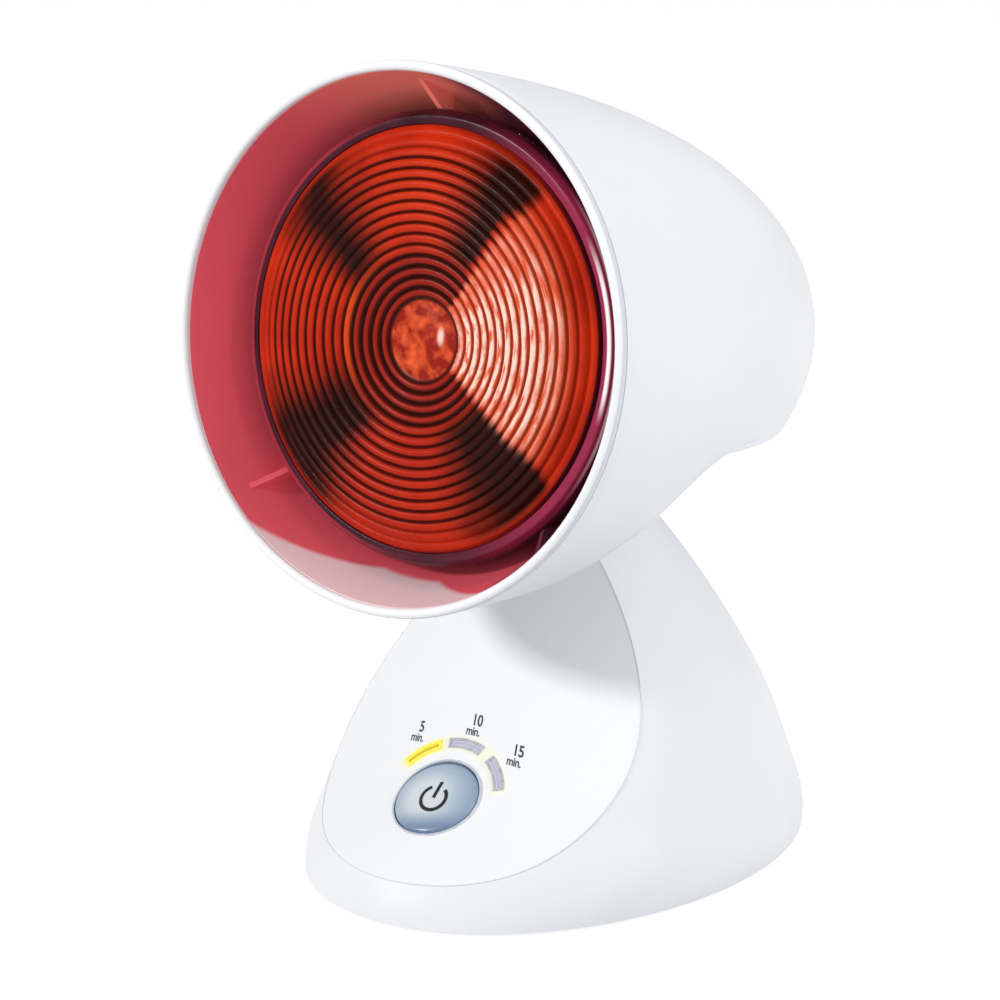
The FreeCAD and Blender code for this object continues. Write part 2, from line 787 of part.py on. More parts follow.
def make_neck():
    """Moulded neck that hangs from the shade's floor and turns on the axle."""
    floor = "-(belly_drop - cover_wall)"
    side = "neck_radius"
    neck = padded("tilt_neck", "YZ_Plane", [
        (f"pivot_depth - {side}", "-pivot_drop"),
        (f"pivot_depth + {side}", "-pivot_drop"),
        (f"pivot_depth + {side}", floor),
        ("neck_flange_back", floor),
        ("neck_flange_back", f"{floor} + neck_flange_wall"),
        ("neck_flange_front", f"{floor} + neck_flange_wall"),
        ("neck_flange_front", floor),
        (f"pivot_depth - {side}", floor),
    ], "2 * neck_half_width", {0: (f"{side} + arc_margin", LEFT)}, midplane=True)
    bore_through(neck, "YZ_Plane", "pivot_depth", "-pivot_drop", "axle_radius + axle_clearance")
    seat_in_head(keep("tilt_neck", neck))


# ---------------------------------------------------------------- base

def section(name, height, inset):
    """Elliptical section of the dome at a height, drawn in by an inset."""
    up = height / 100
    curve = solid("Ellipse", name, {
        "MajorRadius": f"foot_half_depth * (1 - depth_fall * {up}^depth_power) - {inset}",
        "MinorRadius": f"foot_half_width * (1 - width_fall * {up}^width_power) - {inset}",
    })
    return place(curve, ("0", f"lean_linear * {up} + lean_square * {up}^2", str(height)),
                 Vector(0, 0, 1), "quarter_turn")


def loft(name, sections):
    """Smooth solid through sections."""
    form = document.addObject("Part::Loft", name)
    form.Sections = sections
    form.Solid = True
    return form


def ring_form(name, inset):
    """Solid ring whose inner side is the control panel's surface, drawn in by an inset."""
    ring = solid("Torus", name, {
        "Radius1": "panel_dish_radius + panel_crown_radius",
        "Radius2": f"panel_crown_radius - ({inset})",
    })
    place(ring, ("0", DISH_Y, DISH_Z))
    ring.Placement = Placement(ring.Placement.Base, Rotation(Vector(0, 1, 0), 90))
    return ring


def arc_slot(name, inner, outer, start, finish):
    """Curved slot outline about the button's axis."""
    sketch = document.addObject("Sketcher::SketchObject", name)
    draw_outline(sketch, [
        (f"({inner}) * cos({start})", f"({inner}) * sin({start})"),
        (f"({outer}) * cos({start})", f"({outer}) * sin({start})"),
        (f"({outer}) * cos({finish})", f"({outer}) * sin({finish})"),
        (f"({inner}) * cos({finish})", f"({inner}) * sin({finish})"),
    ], {1: (outer, LEFT), 3: (inner, RIGHT)})
    return sketch


def make_base():
    """Dome shell, control panel with its ring, lights and frames, and the start button."""
    sections = [section(f"dome_section_{height}", height, "0") for height in SECTION_HEIGHTS]
    crown = solid("Ellipse", "dome_crown", {
        "MajorRadius": "crown_half_depth",
        "MinorRadius": "crown_half_width",
    })
    sections.append(place(crown, ("0", "crown_back", "crown_height"), Vector(0, 0, 1), "quarter_turn"))
    dome = loft("dome_form", sections)
    cavity = loft("dome_cavity", [
        section(f"cavity_section_{height}", height, f"shell_wall * {1 + height / 100}")
        for height in CAVITY_HEIGHTS
    ])
    on_panel = ring_form("panel_surface", "0")
    under_panel = ring_form("panel_underside", "panel_wall")
    body = combine("Common", "base_body", dome, under_panel)

    rear = f"(slot_radius * cos(slot_back_angle))"
    front = f"(slot_radius * cos(slot_front_angle))"
    neck_slot = pressed("neck_slot", [
        (f"-{front}", "slot_radius * sin(slot_front_angle)"),
        (rear, "-slot_radius * sin(slot_back_angle)"),
        (f"{rear} + slot_reach * sin(slot_back_angle)",
         "-slot_radius * sin(slot_back_angle) + slot_reach * cos(slot_back_angle)"),
        (f"-{front} - slot_reach * sin(slot_front_angle)",
         "slot_radius * sin(slot_front_angle) + slot_reach * cos(slot_front_angle)"),
    ], {0: ("slot_radius", LEFT)}, "2 * slot_half_width")
    place(neck_slot, ("0", "pivot_back", "pivot_height"))

    pivot = ("pivot_back", "pivot_height")
    bore = rod_across("axle_bore", "axle_radius", "axle_half_length", *pivot)
    sink = rod_across("cap_sink", "axle_cap_radius", "2 * axle_half_length", *pivot)
    web = rod_across("cap_web", "axle_cap_radius + 1", "axle_half_length", *pivot)
    sinks = combine("Cut", "cap_sinks", sink, web)

    bosses = []
    pilots = []
    for name, across, along in boss_spots():
        post = rod(f"boss_{name}", "boss_radius", "boss_top", (across, along, "plate_low + plate_wall"))
        bosses.append(post)
        pilots.append(rod(f"pilot_{name}", "bottom_screw_radius", "bottom_screw_length",
                          (across, along, "plate_low + plate_wall")))
    posts = combine("Common", "screw_bosses", union("boss_rods", bosses), body)
    walls = combine("Fuse", "shell_with_bosses", combine("Cut", "shell_walls", body, cavity), posts)

    inlet = rod("gland_hole", "gland_radius", "2 * (gland_back - gland_front)",
                ("0", "gland_front - gland_radius", "gland_height"))
    inlet.Placement = Placement(inlet.Placement.Base, Rotation(Vector(1, 0, 0), -90))
    openings = union("shell_openings", [neck_slot, bore, sinks, inlet] + pilots)
    keep("base_shell", combine("Cut", "base_shell", walls, openings))
    keep("axle_caps", combine("Common", "axle_caps", sinks, body))

    make_controls(combine("Common", "panel_body", dome, on_panel), under_panel)


def make_controls(panel_body, under_panel):
    """Control panel and everything that shows on it."""
    slab = combine("Cut", "panel_slab", panel_body, under_panel)
    button_edge = ellipse("button_edge", "button_half_length", "button_half_width", "button_turn")
    ring_inner = ellipse("ring_inner", "button_half_length + button_gap",
                         "button_half_width + button_gap", "button_turn")
    ring_outer = ellipse("ring_outer", "button_half_length + button_gap + ring_width",
                         "button_half_width + button_gap + ring_width", "button_turn")
    low = "-ring_skirt"
    through = "4 * ring_skirt"
    ring_hole = seat_on_panel(raised("ring_hole", ring_inner, f"-{through}", through))
    ring_blank = seat_on_panel(raised("ring_blank", ring_outer, low, through))
    ring_band = combine("Cut", "ring_band", ring_blank, ring_hole)
    keep("button_ring", combine("Common", "button_ring", ring_band, ring_form("ring_level", "-ring_proud")))

    holes = [seat_on_panel(raised("panel_ring_hole", ring_outer, f"-{through}", through))]
    frame_level = ring_form("frame_level", "-frame_proud")
    light_level = ring_form("light_level", "-light_proud")
    frames = []
    for minutes in (5, 10, 15):
        start = f"light_{minutes}_start"
        finish = f"light_{minutes}_end"
        outline = arc_slot(f"frame_{minutes}_outline", "light_inner_radius", "light_outer_radius",
                           start, finish)
        window = arc_slot(f"light_{minutes}_outline", "light_inner_radius + light_border",
                          "light_outer_radius - light_border",
                          f"({start} + light_border_angle)", f"({finish} - light_border_angle)")
        holes.append(seat_on_panel(raised(f"frame_{minutes}_hole", outline, f"-{through}", through)))
        blank = seat_on_panel(raised(f"frame_{minutes}_blank", outline, low, through))
        light = seat_on_panel(raised(f"light_{minutes}_blank", window, low, through))
        opening = seat_on_panel(raised(f"light_{minutes}_hole", window, f"-{through}", through))
        band = combine("Cut", f"frame_{minutes}_band", blank, opening)
        frames.append(combine("Common", f"light_frame_{minutes}", band, frame_level))
        keep(f"light_lens_{minutes}", combine("Common", f"light_lens_{minutes}", light, light_level))
    keep("light_frames", gather("light_frames", frames))
    keep("control_panel", combine("Cut", "control_panel", slab, union("panel_holes", holes)))

    cap_blank = raised("button_blank", button_edge, "-button_skirt", "button_proud")
    dome = solid("Sphere", "button_dome", {"Radius": "button_dome_radius"})
    place(dome, ("0", "0", "button_proud - button_dome_radius"))
    cap = combine("Common", "button_cap", cap_blank, dome)
    document.recompute()
    rounded = document.addObject("Part::Fillet", "button_rounded")
    rounded.Base = cap
    radius = size("button_edge_round")
    top = [number for number, edge in enumerate(cap.Shape.Edges, start=1)
           if edge.BoundBox.ZMin > -size("button_skirt") + radius]
    rounded.Edges = [(number, radius, radius) for number in top]
    seat_on_panel(keep("start_button", rounded))

    plunger = rod("switch_plunger", "plunger_radius", "plunger_end - button_skirt", ("0", "0", "0"))
    lower_along_panel(keep("switch_plunger", plunger), "plunger_end")
    make_electronics(under_panel)


def lower_along_panel(thing, depth):
    """Seat a piece on the button's axis with its own origin a depth below the panel."""
    base = (
        "0",
        f"{DISH_Y} + (panel_dish_radius + {depth}) * sin({BUTTON_SLOPE})",
        f"{DISH_Z} - (panel_dish_radius + {depth}) * cos({BUTTON_SLOPE})",
    )
    return place(thing, base, Vector(1, 0, 0), BUTTON_SLOPE)


def make_electronics(under_panel):
    """Circuit board on its posts, tactile switch, light sources and relay."""
    board = padded("circuit_board", "XY_Plane",
                   rectangle("-board_half_width", "-board_front", "board_half_width", "board_back"),
                   "board_wall")
    lower_along_panel(keep("circuit_board", board), "(board_depth + board_wall)")

    half = "switch_size / 2"
    switch = padded("switch_blank", "XY_Plane",
                    rectangle(f"-{half}", f"-{half}", half, half), "board_depth - switch_top")
    bore = rod("switch_bore", "plunger_radius + plunger_gap", "board_depth - switch_top",
               ("0", "0", "switch_floor"))
    lower_along_panel(keep("switch_body", combine("Cut", "switch_body", switch, bore)), "board_depth")

    diodes = []
    middle = "((light_inner_radius + light_outer_radius) / 2)"
    for minutes in (5, 10, 15):
        angle = f"((light_{minutes}_start + light_{minutes}_end) / 2)"
        spot = (f"{middle} * cos({angle})", f"{middle} * sin({angle})", "0")
        diodes.append(rod(f"diode_{minutes}", "diode_radius", "board_depth - diode_top", spot))
    lower_along_panel(keep("light_diodes", gather("light_diodes", diodes)), "board_depth")

    rods = []
    for across in ("-post_side", "post_side"):
        for along in ("-post_front", "post_back"):
            rods.append(rod("post_rod", "post_radius", "board_depth + panel_wall", (across, along, "0")))
    uprights = lower_along_panel(gather("post_rods", rods), "board_depth")
    keep("board_posts", combine("Common", "board_posts", uprights, under_panel))

    half = "relay_length / 2"
    corners = rectangle(f"-{half}", "relay_back", half, "relay_back + relay_width")
    relay = padded("relay", "XY_Plane", corners, "relay_height")
    lower_along_panel(keep("relay", relay), "(board_depth + board_wall + relay_height)")


def boss_spots():
    """Name and place of each screw boss of the bottom plate."""
    return [
        (f"{side}_{end}", f"{across} * boss_side", f"{along} * boss_along")
        for side, across in (("left", "-1"), ("right", "1"))
        for end, along in (("front", "-1"), ("back", "1"))
    ]


def foot_spots():
    """Place of each rubber foot: four at the corners and one under the ballast."""
    sides = ("-foot_side", "foot_side")
    return [(across, along) for across in sides for along in ("-foot_front", "foot_back")] + [("0", "0")]


def make_underside():
    """Bottom plate, ballast, feet and screws."""
    rim = solid("Ellipse", "plate_rim", {
        "MajorRadius": "foot_half_depth - shell_wall - plate_end_gap",
        "MinorRadius": "foot_half_width - shell_wall - plate_side_gap",
    })
    place(rim, ("0", "0", "0"), Vector(0, 0, 1), "quarter_turn")
    blank = raised("plate_blank", rim, "plate_low", "plate_low + plate_wall")
    tools = []
    feet = []
    for across, along in foot_spots():
        pad = rod("foot_pad", "foot_radius", "plate_low", (across, along, "0"))
        spigot = rod("foot_spigot", "foot_spigot_radius", "plate_low + plate_wall", (across, along, "0"))
        feet.append(combine("Fuse", "foot", pad, spigot))
        tools.append(spigot)
    screws = []
    for name, across, along in boss_spots():
        head = rod(f"bottom_head_{name}", "bottom_screw_head", "bottom_screw_head_wall",
                   (across, along, "plate_low"))
        shank = rod(f"bottom_shank_{name}", "bottom_screw_radius",
                    "plate_wall + bottom_screw_length - pilot_spare", (across, along, "plate_low"))
        screw = combine("Fuse", f"bottom_screw_{name}", head, shank)
        screws.append(screw)
        tools.append(screw)
    keep("rubber_feet", gather("rubber_feet", feet))
    keep("bottom_screws", gather("bottom_screws", screws))
    keep("bottom_plate", combine("Cut", "bottom_plate", blank, union("plate_holes", tools)))

    slab = solid("Ellipse", "ballast_rim", {
        "MajorRadius": "ballast_half_width",
        "MinorRadius": "ballast_half_depth",
    })
    place(slab, ("0", "-ballast_forward", "plate_low + plate_wall"))
    keep("ballast", raised("ballast", slab, "0", "ballast_wall"))


def make_mains_side():
    """Transformer, terminal block and the cord's inlet gland."""
    floor = "plate_low + plate_wall"
    pieces = {
        "transformer": ("transformer", "transformer_front"),
        "terminal_block": ("terminal", "terminal_front"),
    }
    for name, (prefix, front) in pieces.items():
        body = padded(name, "XY_Plane",
                      rectangle(f"-{prefix}_width / 2", "0", f"{prefix}_width / 2", f"{prefix}_depth"),
                      f"{prefix}_height")
        place(keep(name, body), ("0", front, floor))
    gland = turned("cord_gland", [
        ("0", "gland_bore"),
        ("0", "gland_radius"),
        ("gland_back - gland_front - gland_bevel", "gland_radius"),
        ("gland_back - gland_front", "gland_radius - gland_bevel"),
        ("gland_back - gland_front", "gland_bore"),
    ])
    place(gland, ("0", "gland_front", "gland_height"))


def make_pivot():
    """Steel axle and the two friction washers beside the neck."""
    pivot = ("pivot_back", "pivot_height")
    keep("tilt_axle", rod_across("tilt_axle", "axle_radius", "axle_half_length", *pivot))
    disc = rod_across("washer_disc", "washer_radius", "slot_half_width", *pivot)
    gap = rod_across("washer_gap", "washer_radius + 1", "slot_half_width - washer_wall", *pivot)
    hole = rod_across("washer_hole", "axle_radius", "2 * slot_half_width", *pivot)
    discs = combine("Cut", "washer_discs", disc, gap)
    keep("friction_washers", combine("Cut", "friction_washers", discs, hole))


make_shade()
make_bulb()
make_socket()
make_neck()
make_base()
make_underside()
make_mains_side()
make_pivot()
document.recompute()


# ---------------------------------------------------------------- test and write

failed = [thing.Name for thing in document.Objects if {"Invalid", "Error"} & set(thing.State)]
if failed:
    raise RuntimeError(f"objects that did not recompute: {failed}")
for name, thing in parts.items():
    if thing.Shape.isNull() or not thing.Shape.isValid() or not thing.Shape.Solids:
        raise RuntimeError(f"{name} has no valid solid")

os.makedirs("parts", exist_ok=True)
for name, thing in parts.items():
    thing.Shape.exportStep(f"parts/{name}.step")
    print(f"{name}: {len(thing.Shape.Solids)} solid, {thing.Shape.Volume / 1000:.2f} cm3")
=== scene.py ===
import json
import logging
import math
from collections.abc import Callable, Sequence
from dataclasses import dataclass
from enum import Enum
from itertools import pairwise

import bpy
from mathutils import Matrix, Vector


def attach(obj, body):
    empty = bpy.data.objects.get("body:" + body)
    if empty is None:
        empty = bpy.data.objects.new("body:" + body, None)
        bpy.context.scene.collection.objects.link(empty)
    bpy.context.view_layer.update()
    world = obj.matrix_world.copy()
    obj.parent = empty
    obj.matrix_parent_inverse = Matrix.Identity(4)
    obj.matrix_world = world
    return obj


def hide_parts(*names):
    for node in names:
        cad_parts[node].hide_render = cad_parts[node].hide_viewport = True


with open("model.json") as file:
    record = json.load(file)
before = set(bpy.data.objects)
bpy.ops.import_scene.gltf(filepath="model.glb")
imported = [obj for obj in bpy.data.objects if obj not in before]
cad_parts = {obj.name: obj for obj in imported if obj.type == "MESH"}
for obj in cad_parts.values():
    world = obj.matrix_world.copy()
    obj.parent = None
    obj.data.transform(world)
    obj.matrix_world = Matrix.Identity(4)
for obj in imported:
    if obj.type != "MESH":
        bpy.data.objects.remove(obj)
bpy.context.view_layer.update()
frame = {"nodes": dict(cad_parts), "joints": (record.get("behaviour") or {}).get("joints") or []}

MM = 0.001
WELD = 2e-6
DEPTH_AXIS = (0.0, 1.0, 0.0)
EYE_RADIUS = 11.2 * MM
RIB_COUNT = 16
RIB_PITCH = 45.7 / RIB_COUNT * MM
LIGHT_RADIUS = 18.25 * MM
BUTTON_LENGTH = 12.55 * MM
FROM_BELOW = -90.0

OBJECT_POINT = 3
MIX_COLOUR = 2
BRICK_MORTAR = 1

LOG = logging.getLogger("heat_lamp")

Object = bpy.types.Object
Material = bpy.types.Material
Socket = bpy.types.NodeSocket
Triple = tuple[float, float, float]
Colour = tuple[float, float, float, float]
Band = tuple[float, float, float, float]
Point = tuple[float, float]

WHITE_LIGHT: Colour = (1.0, 1.0, 1.0, 1.0)


class Body(Enum):
    """The moving bodies of the lamp."""

    BASE = "base"
    HEAD = "head"
    BUTTON = "button"


def screen(red: int, green: int, blue: int) -> Colour:
    """Turn a screen colour into the linear one that a shader takes.

    Args:
        red: Red, 0 to 255.
        green: Green, 0 to 255.
        blue: Blue, 0 to 255.

    Returns:
        The linear colour, opaque.
    """
    shares = (red / 255, green / 255, blue / 255)
    linear = [share / 12.92 if share <= 0.04045 else ((share + 0.055) / 1.055) ** 2.4 for share in shares]
    return (*linear, 1.0)


@dataclass(frozen=True)
class Seat:
    """A working frame: its origin in metres and its turn about the left-right axis."""

    origin: Triple
    turn: float

    def matrix(self) -> Matrix:
        """Matrix from the working frame to the lamp's frame."""
        return Matrix.Translation(self.origin) @ Matrix.Rotation(self.turn, 4, "X")


def button_seat() -> Seat:
    """Find the start button's seat from its joint.

    Returns:
        The seat, with its origin on the panel and Z along the panel's normal.
    """
    joint = next(joint for joint in frame["joints"] if joint["child"] == Body.BUTTON.value)
    _, forward, up = joint["axis"]
    return Seat(tuple(joint["pos_m"]), math.atan2(forward, -up))


HEAD_SEAT = Seat((0.0, -81.3 * MM, 159.2 * MM), math.radians(-5.5))
BUTTON_SEAT = button_seat()


@dataclass(frozen=True)
class Dish:
    """The control panel's surface: dished lengthwise, crowned across."""

    tip_forward: float = 81.6 * MM
    tip_height: float = 14.1 * MM
    tip_slope: float = math.radians(32.13)
    dish_radius: float = 190.2 * MM
    crown_radius: float = 135.0 * MM
    button_along: float = 24.4 * MM

    @property
    def middle(self) -> Point:
        """Centre of the dish in the lamp's middle plane, as (y, z)."""
        return (-self.tip_forward - self.dish_radius * math.sin(self.tip_slope),
                self.tip_height + self.dish_radius * math.cos(self.tip_slope))

    def point(self, across: float, along: float, rise: float) -> Vector:
        """Find a point over the panel.

        Args:
            across: Distance to the right of the middle line.
            along: Distance up the panel from the button's centre.
            rise: Height over the surface.

        Returns:
            The point in the lamp's frame.
        """
        slope = self.tip_slope + (self.button_along + along) / self.dish_radius
        roll = across / self.crown_radius
        reach = self.dish_radius + self.crown_radius - (self.crown_radius + rise) * math.cos(roll)
        middle_y, middle_z = self.middle
        return Vector(((self.crown_radius + rise) * math.sin(roll), middle_y + reach * math.sin(slope),
                       middle_z - reach * math.cos(slope)))

    def depth(self, point: Vector) -> float:
        """Depth of a point under the panel's surface."""
        reach = math.dist((point.y, point.z), self.middle)
        return self.crown_radius - math.hypot(point.x, self.dish_radius + self.crown_radius - reach)


def rounded(corners: Sequence[Triple], steps: int) -> list[Point]:
    """Round the corners of an open outline.

    Args:
        corners: Corners as (along, radius, rounding), in metres.
        steps: Spans in each rounding.

    Returns:
        The outline's points.
    """
    points: list[Point] = []
    for index, (along, across, rounding) in enumerate(corners):
        corner = Vector((along, across))
        if rounding <= 0.0:
            points.append(tuple(corner))
            continue
        before, after = ((Vector(corners[index + side][:2]) - corner).normalized() for side in (-1, 1))
        reach = rounding / math.tan(before.angle(after) / 2)
        start, finish = corner + before * reach, corner + after * reach
        for share in (step / steps for step in range(steps + 1)):
            middle = 2 * share * (1 - share) * corner
            points.append(tuple((1 - share) ** 2 * start + middle + share ** 2 * finish))
    return points


def arc_points(centre: Point, radius: float, start: float, finish: float, steps: int) -> list[Point]:
    """Points of an arc, its ends included, between two angles in degrees."""
    angles = [math.radians(start + (finish - start) * step / steps) for step in range(steps + 1)]
    return [(centre[0] + radius * math.cos(angle), centre[1] + radius * math.sin(angle)) for angle in angles]


class Bench:
    """The modelling moves that the pieces share."""

    @staticmethod
    def clear() -> None:
        """Deselect everything."""
        for thing in bpy.context.selected_objects:
            thing.select_set(False)

    @staticmethod
    def hold(piece: Object) -> None:
        """Make a piece the only selected and the active one.

        Args:
            piece: The piece.
        """
        Bench.clear()
        piece.select_set(True)
        bpy.context.view_layer.objects.active = piece

    @staticmethod
    def named(name: str) -> Object:
        """Name the active object and its mesh.

        Args:
            name: The name that both get.

        Returns:
            The object.
        """
        piece = bpy.context.active_object
        piece.name = piece.data.name = name
        return piece

    @staticmethod
    def apply_place(piece: Object) -> None:
        """Put an object's place into its mesh."""
        Bench.hold(piece)
        bpy.ops.object.transform_apply(location=True, rotation=True, scale=True)

    @staticmethod
    def seat(piece: Object, seat: Seat) -> None:
        """Move a piece from its working frame to the lamp's frame."""
        piece.matrix_world = seat.matrix() @ piece.matrix_world
        Bench.apply_place(piece)

    @staticmethod
    def edit(piece: Object, work: Callable[[], None]) -> None:
        """Do some work on the whole of a piece in edit mode.

        Args:
            piece: The piece.
            work: The operators to run.
        """
        Bench.hold(piece)
        bpy.ops.object.mode_set(mode="EDIT")
        bpy.ops.mesh.select_all(action="SELECT")
        work()
        bpy.ops.object.mode_set(mode="OBJECT")

    @staticmethod
    def face_out() -> None:
        """Turn the faces of the mesh in edit mode outwards."""
        bpy.ops.mesh.select_all(action="SELECT")
        bpy.ops.mesh.normals_make_consistent(inside=False)

    @staticmethod
    def trace(name: str, points: Sequence[Vector]) -> Object:
        """Draw a line of edges by extruding one vertex from point to point.

        Args:
            name: The piece's name.
            points: The line's points.

        Returns:
            The line as a mesh object.
        """
        Bench.clear()
        bpy.ops.mesh.primitive_plane_add(size=MM, location=points[0])
        piece = Bench.named(name)
        Bench.apply_place(piece)

        def draw() -> None:
            """Shrink the plane to a vertex and pull it along."""
            bpy.ops.mesh.merge(type="CENTER")
            for start, finish in pairwise(points):
                bpy.ops.mesh.extrude_vertices_move(TRANSFORM_OT_translate={"value": finish - start})

        Bench.edit(piece, draw)
        return piece

    @staticmethod
    def turn(name: str, outline: Sequence[Point], steps: int = 160) -> Object:
        """Turn an outline about the depth axis.

        Args:
            name: The piece's name.
            outline: Points as (along the axis, radius).
            steps: Steps in the full turn.

        Returns:
            The turned piece, with its doubles merged and its faces outwards.
        """
        piece = Bench.trace(name, [Vector((radius, depth, 0.0)) for depth, radius in outline])

        def spin() -> None:
            """Spin the outline once round and close it."""
            bpy.ops.mesh.spin(steps=steps, angle=2 * math.pi, center=(0, 0, 0), axis=DEPTH_AXIS)
            bpy.ops.mesh.select_all(action="SELECT")
            bpy.ops.mesh.remove_doubles(threshold=WELD)
            Bench.face_out()

        Bench.edit(piece, spin)
        return piece

    @staticmethod
    def press(name: str, outline: Sequence[Vector], push: Vector) -> Object:
        """Press a closed flat outline into a solid.

        Args:
            name: The piece's name.
            outline: The outline's points, without the first repeated.
            push: How far and which way it is pressed.

        Returns:
            The solid.
        """
        piece = Bench.trace(name, [*outline, outline[0]])

        def fill() -> None:
            """Close the outline, fill it and pull the face out."""
            bpy.ops.mesh.remove_doubles(threshold=WELD)
            bpy.ops.mesh.edge_face_add()
            bpy.ops.mesh.extrude_region_move(TRANSFORM_OT_translate={"value": push})
            Bench.face_out()

        Bench.edit(piece, fill)
        return piece

    @staticmethod
    def modify(piece: Object, kind: str, **settings: object) -> None:
        """Add a modifier and apply it.

        Args:
            piece: The piece.
            kind: The modifier's type.
            settings: Its own properties.
        """
        modifier = piece.modifiers.new(kind.lower(), kind)
        for key, value in settings.items():
            setattr(modifier, key, value)
        Bench.hold(piece)
        bpy.ops.object.modifier_apply(modifier=modifier.name)

    @staticmethod
    def cut(piece: Object, tool: Object) -> None:
        """Cut a piece with a tool and throw the tool away."""
        Bench.modify(piece, "BOOLEAN", object=tool, operation="DIFFERENCE", solver="EXACT")
        bpy.data.objects.remove(tool)

    @staticmethod
    def ease(piece: Object, width: float, segments: int = 2) -> None:
        """Round a piece's sharp edges with a small bevel."""
        Bench.modify(piece, "BEVEL", width=width, segments=segments, limit_method="ANGLE",
                     angle_limit=math.radians(40.0), use_clamp_overlap=True)

    @staticmethod
    def smooth(piece: Object, sharpest: float) -> None:
        """Shade a piece smooth, apart from edges sharper than an angle in degrees."""
        Bench.hold(piece)
        bpy.ops.object.shade_smooth_by_angle(angle=math.radians(sharpest))

    @staticmethod
    def copy_node(node: str, name: str) -> Object:
        """Copy a CAD node into a new piece with its loose triangles merged.

        Args:
            node: The CAD node.
            name: The new piece's name.

        Returns:
            The new piece.
        """
        mesh = frame["nodes"][node].data.copy()
        mesh.name = name
        mesh.materials.clear()
        piece = bpy.data.objects.new(name, mesh)
        bpy.context.scene.collection.objects.link(piece)
        Bench.hold(piece)
        bpy.ops.mesh.customdata_custom_splitnormals_clear()
        Bench.edit(piece, lambda: bpy.ops.mesh.remove_doubles(threshold=WELD))
        return piece

    @staticmethod
    def join(name: str, pieces: Sequence[Object]) -> Object:
        """Join several pieces into one.

        Args:
            name: The name of the whole.
            pieces: The pieces.

        Returns:
            The joined piece.
        """
        Bench.hold(pieces[0])
        for piece in pieces[1:]:
            piece.select_set(True)
        bpy.ops.object.join()
        return Bench.named(name)


class Signal:
    """A node's output, which takes part in sums like a number."""

    def __init__(self, desk: "Desk", socket: Socket) -> None:
        """Keep the output and the desk that its node lies on."""
        self.desk = desk
        self.socket = socket

    def __add__(self, other: "Value") -> "Signal":
        """Sum."""
        return self.desk.math("ADD", self, other)

    def __sub__(self, other: "Value") -> "Signal":
        """Difference."""
        return self.desk.math("SUBTRACT", self, other)

    def __mul__(self, other: "Value") -> "Signal":
        """Product."""
        return self.desk.math("MULTIPLY", self, other)


Value = float | Triple | Colour | Signal


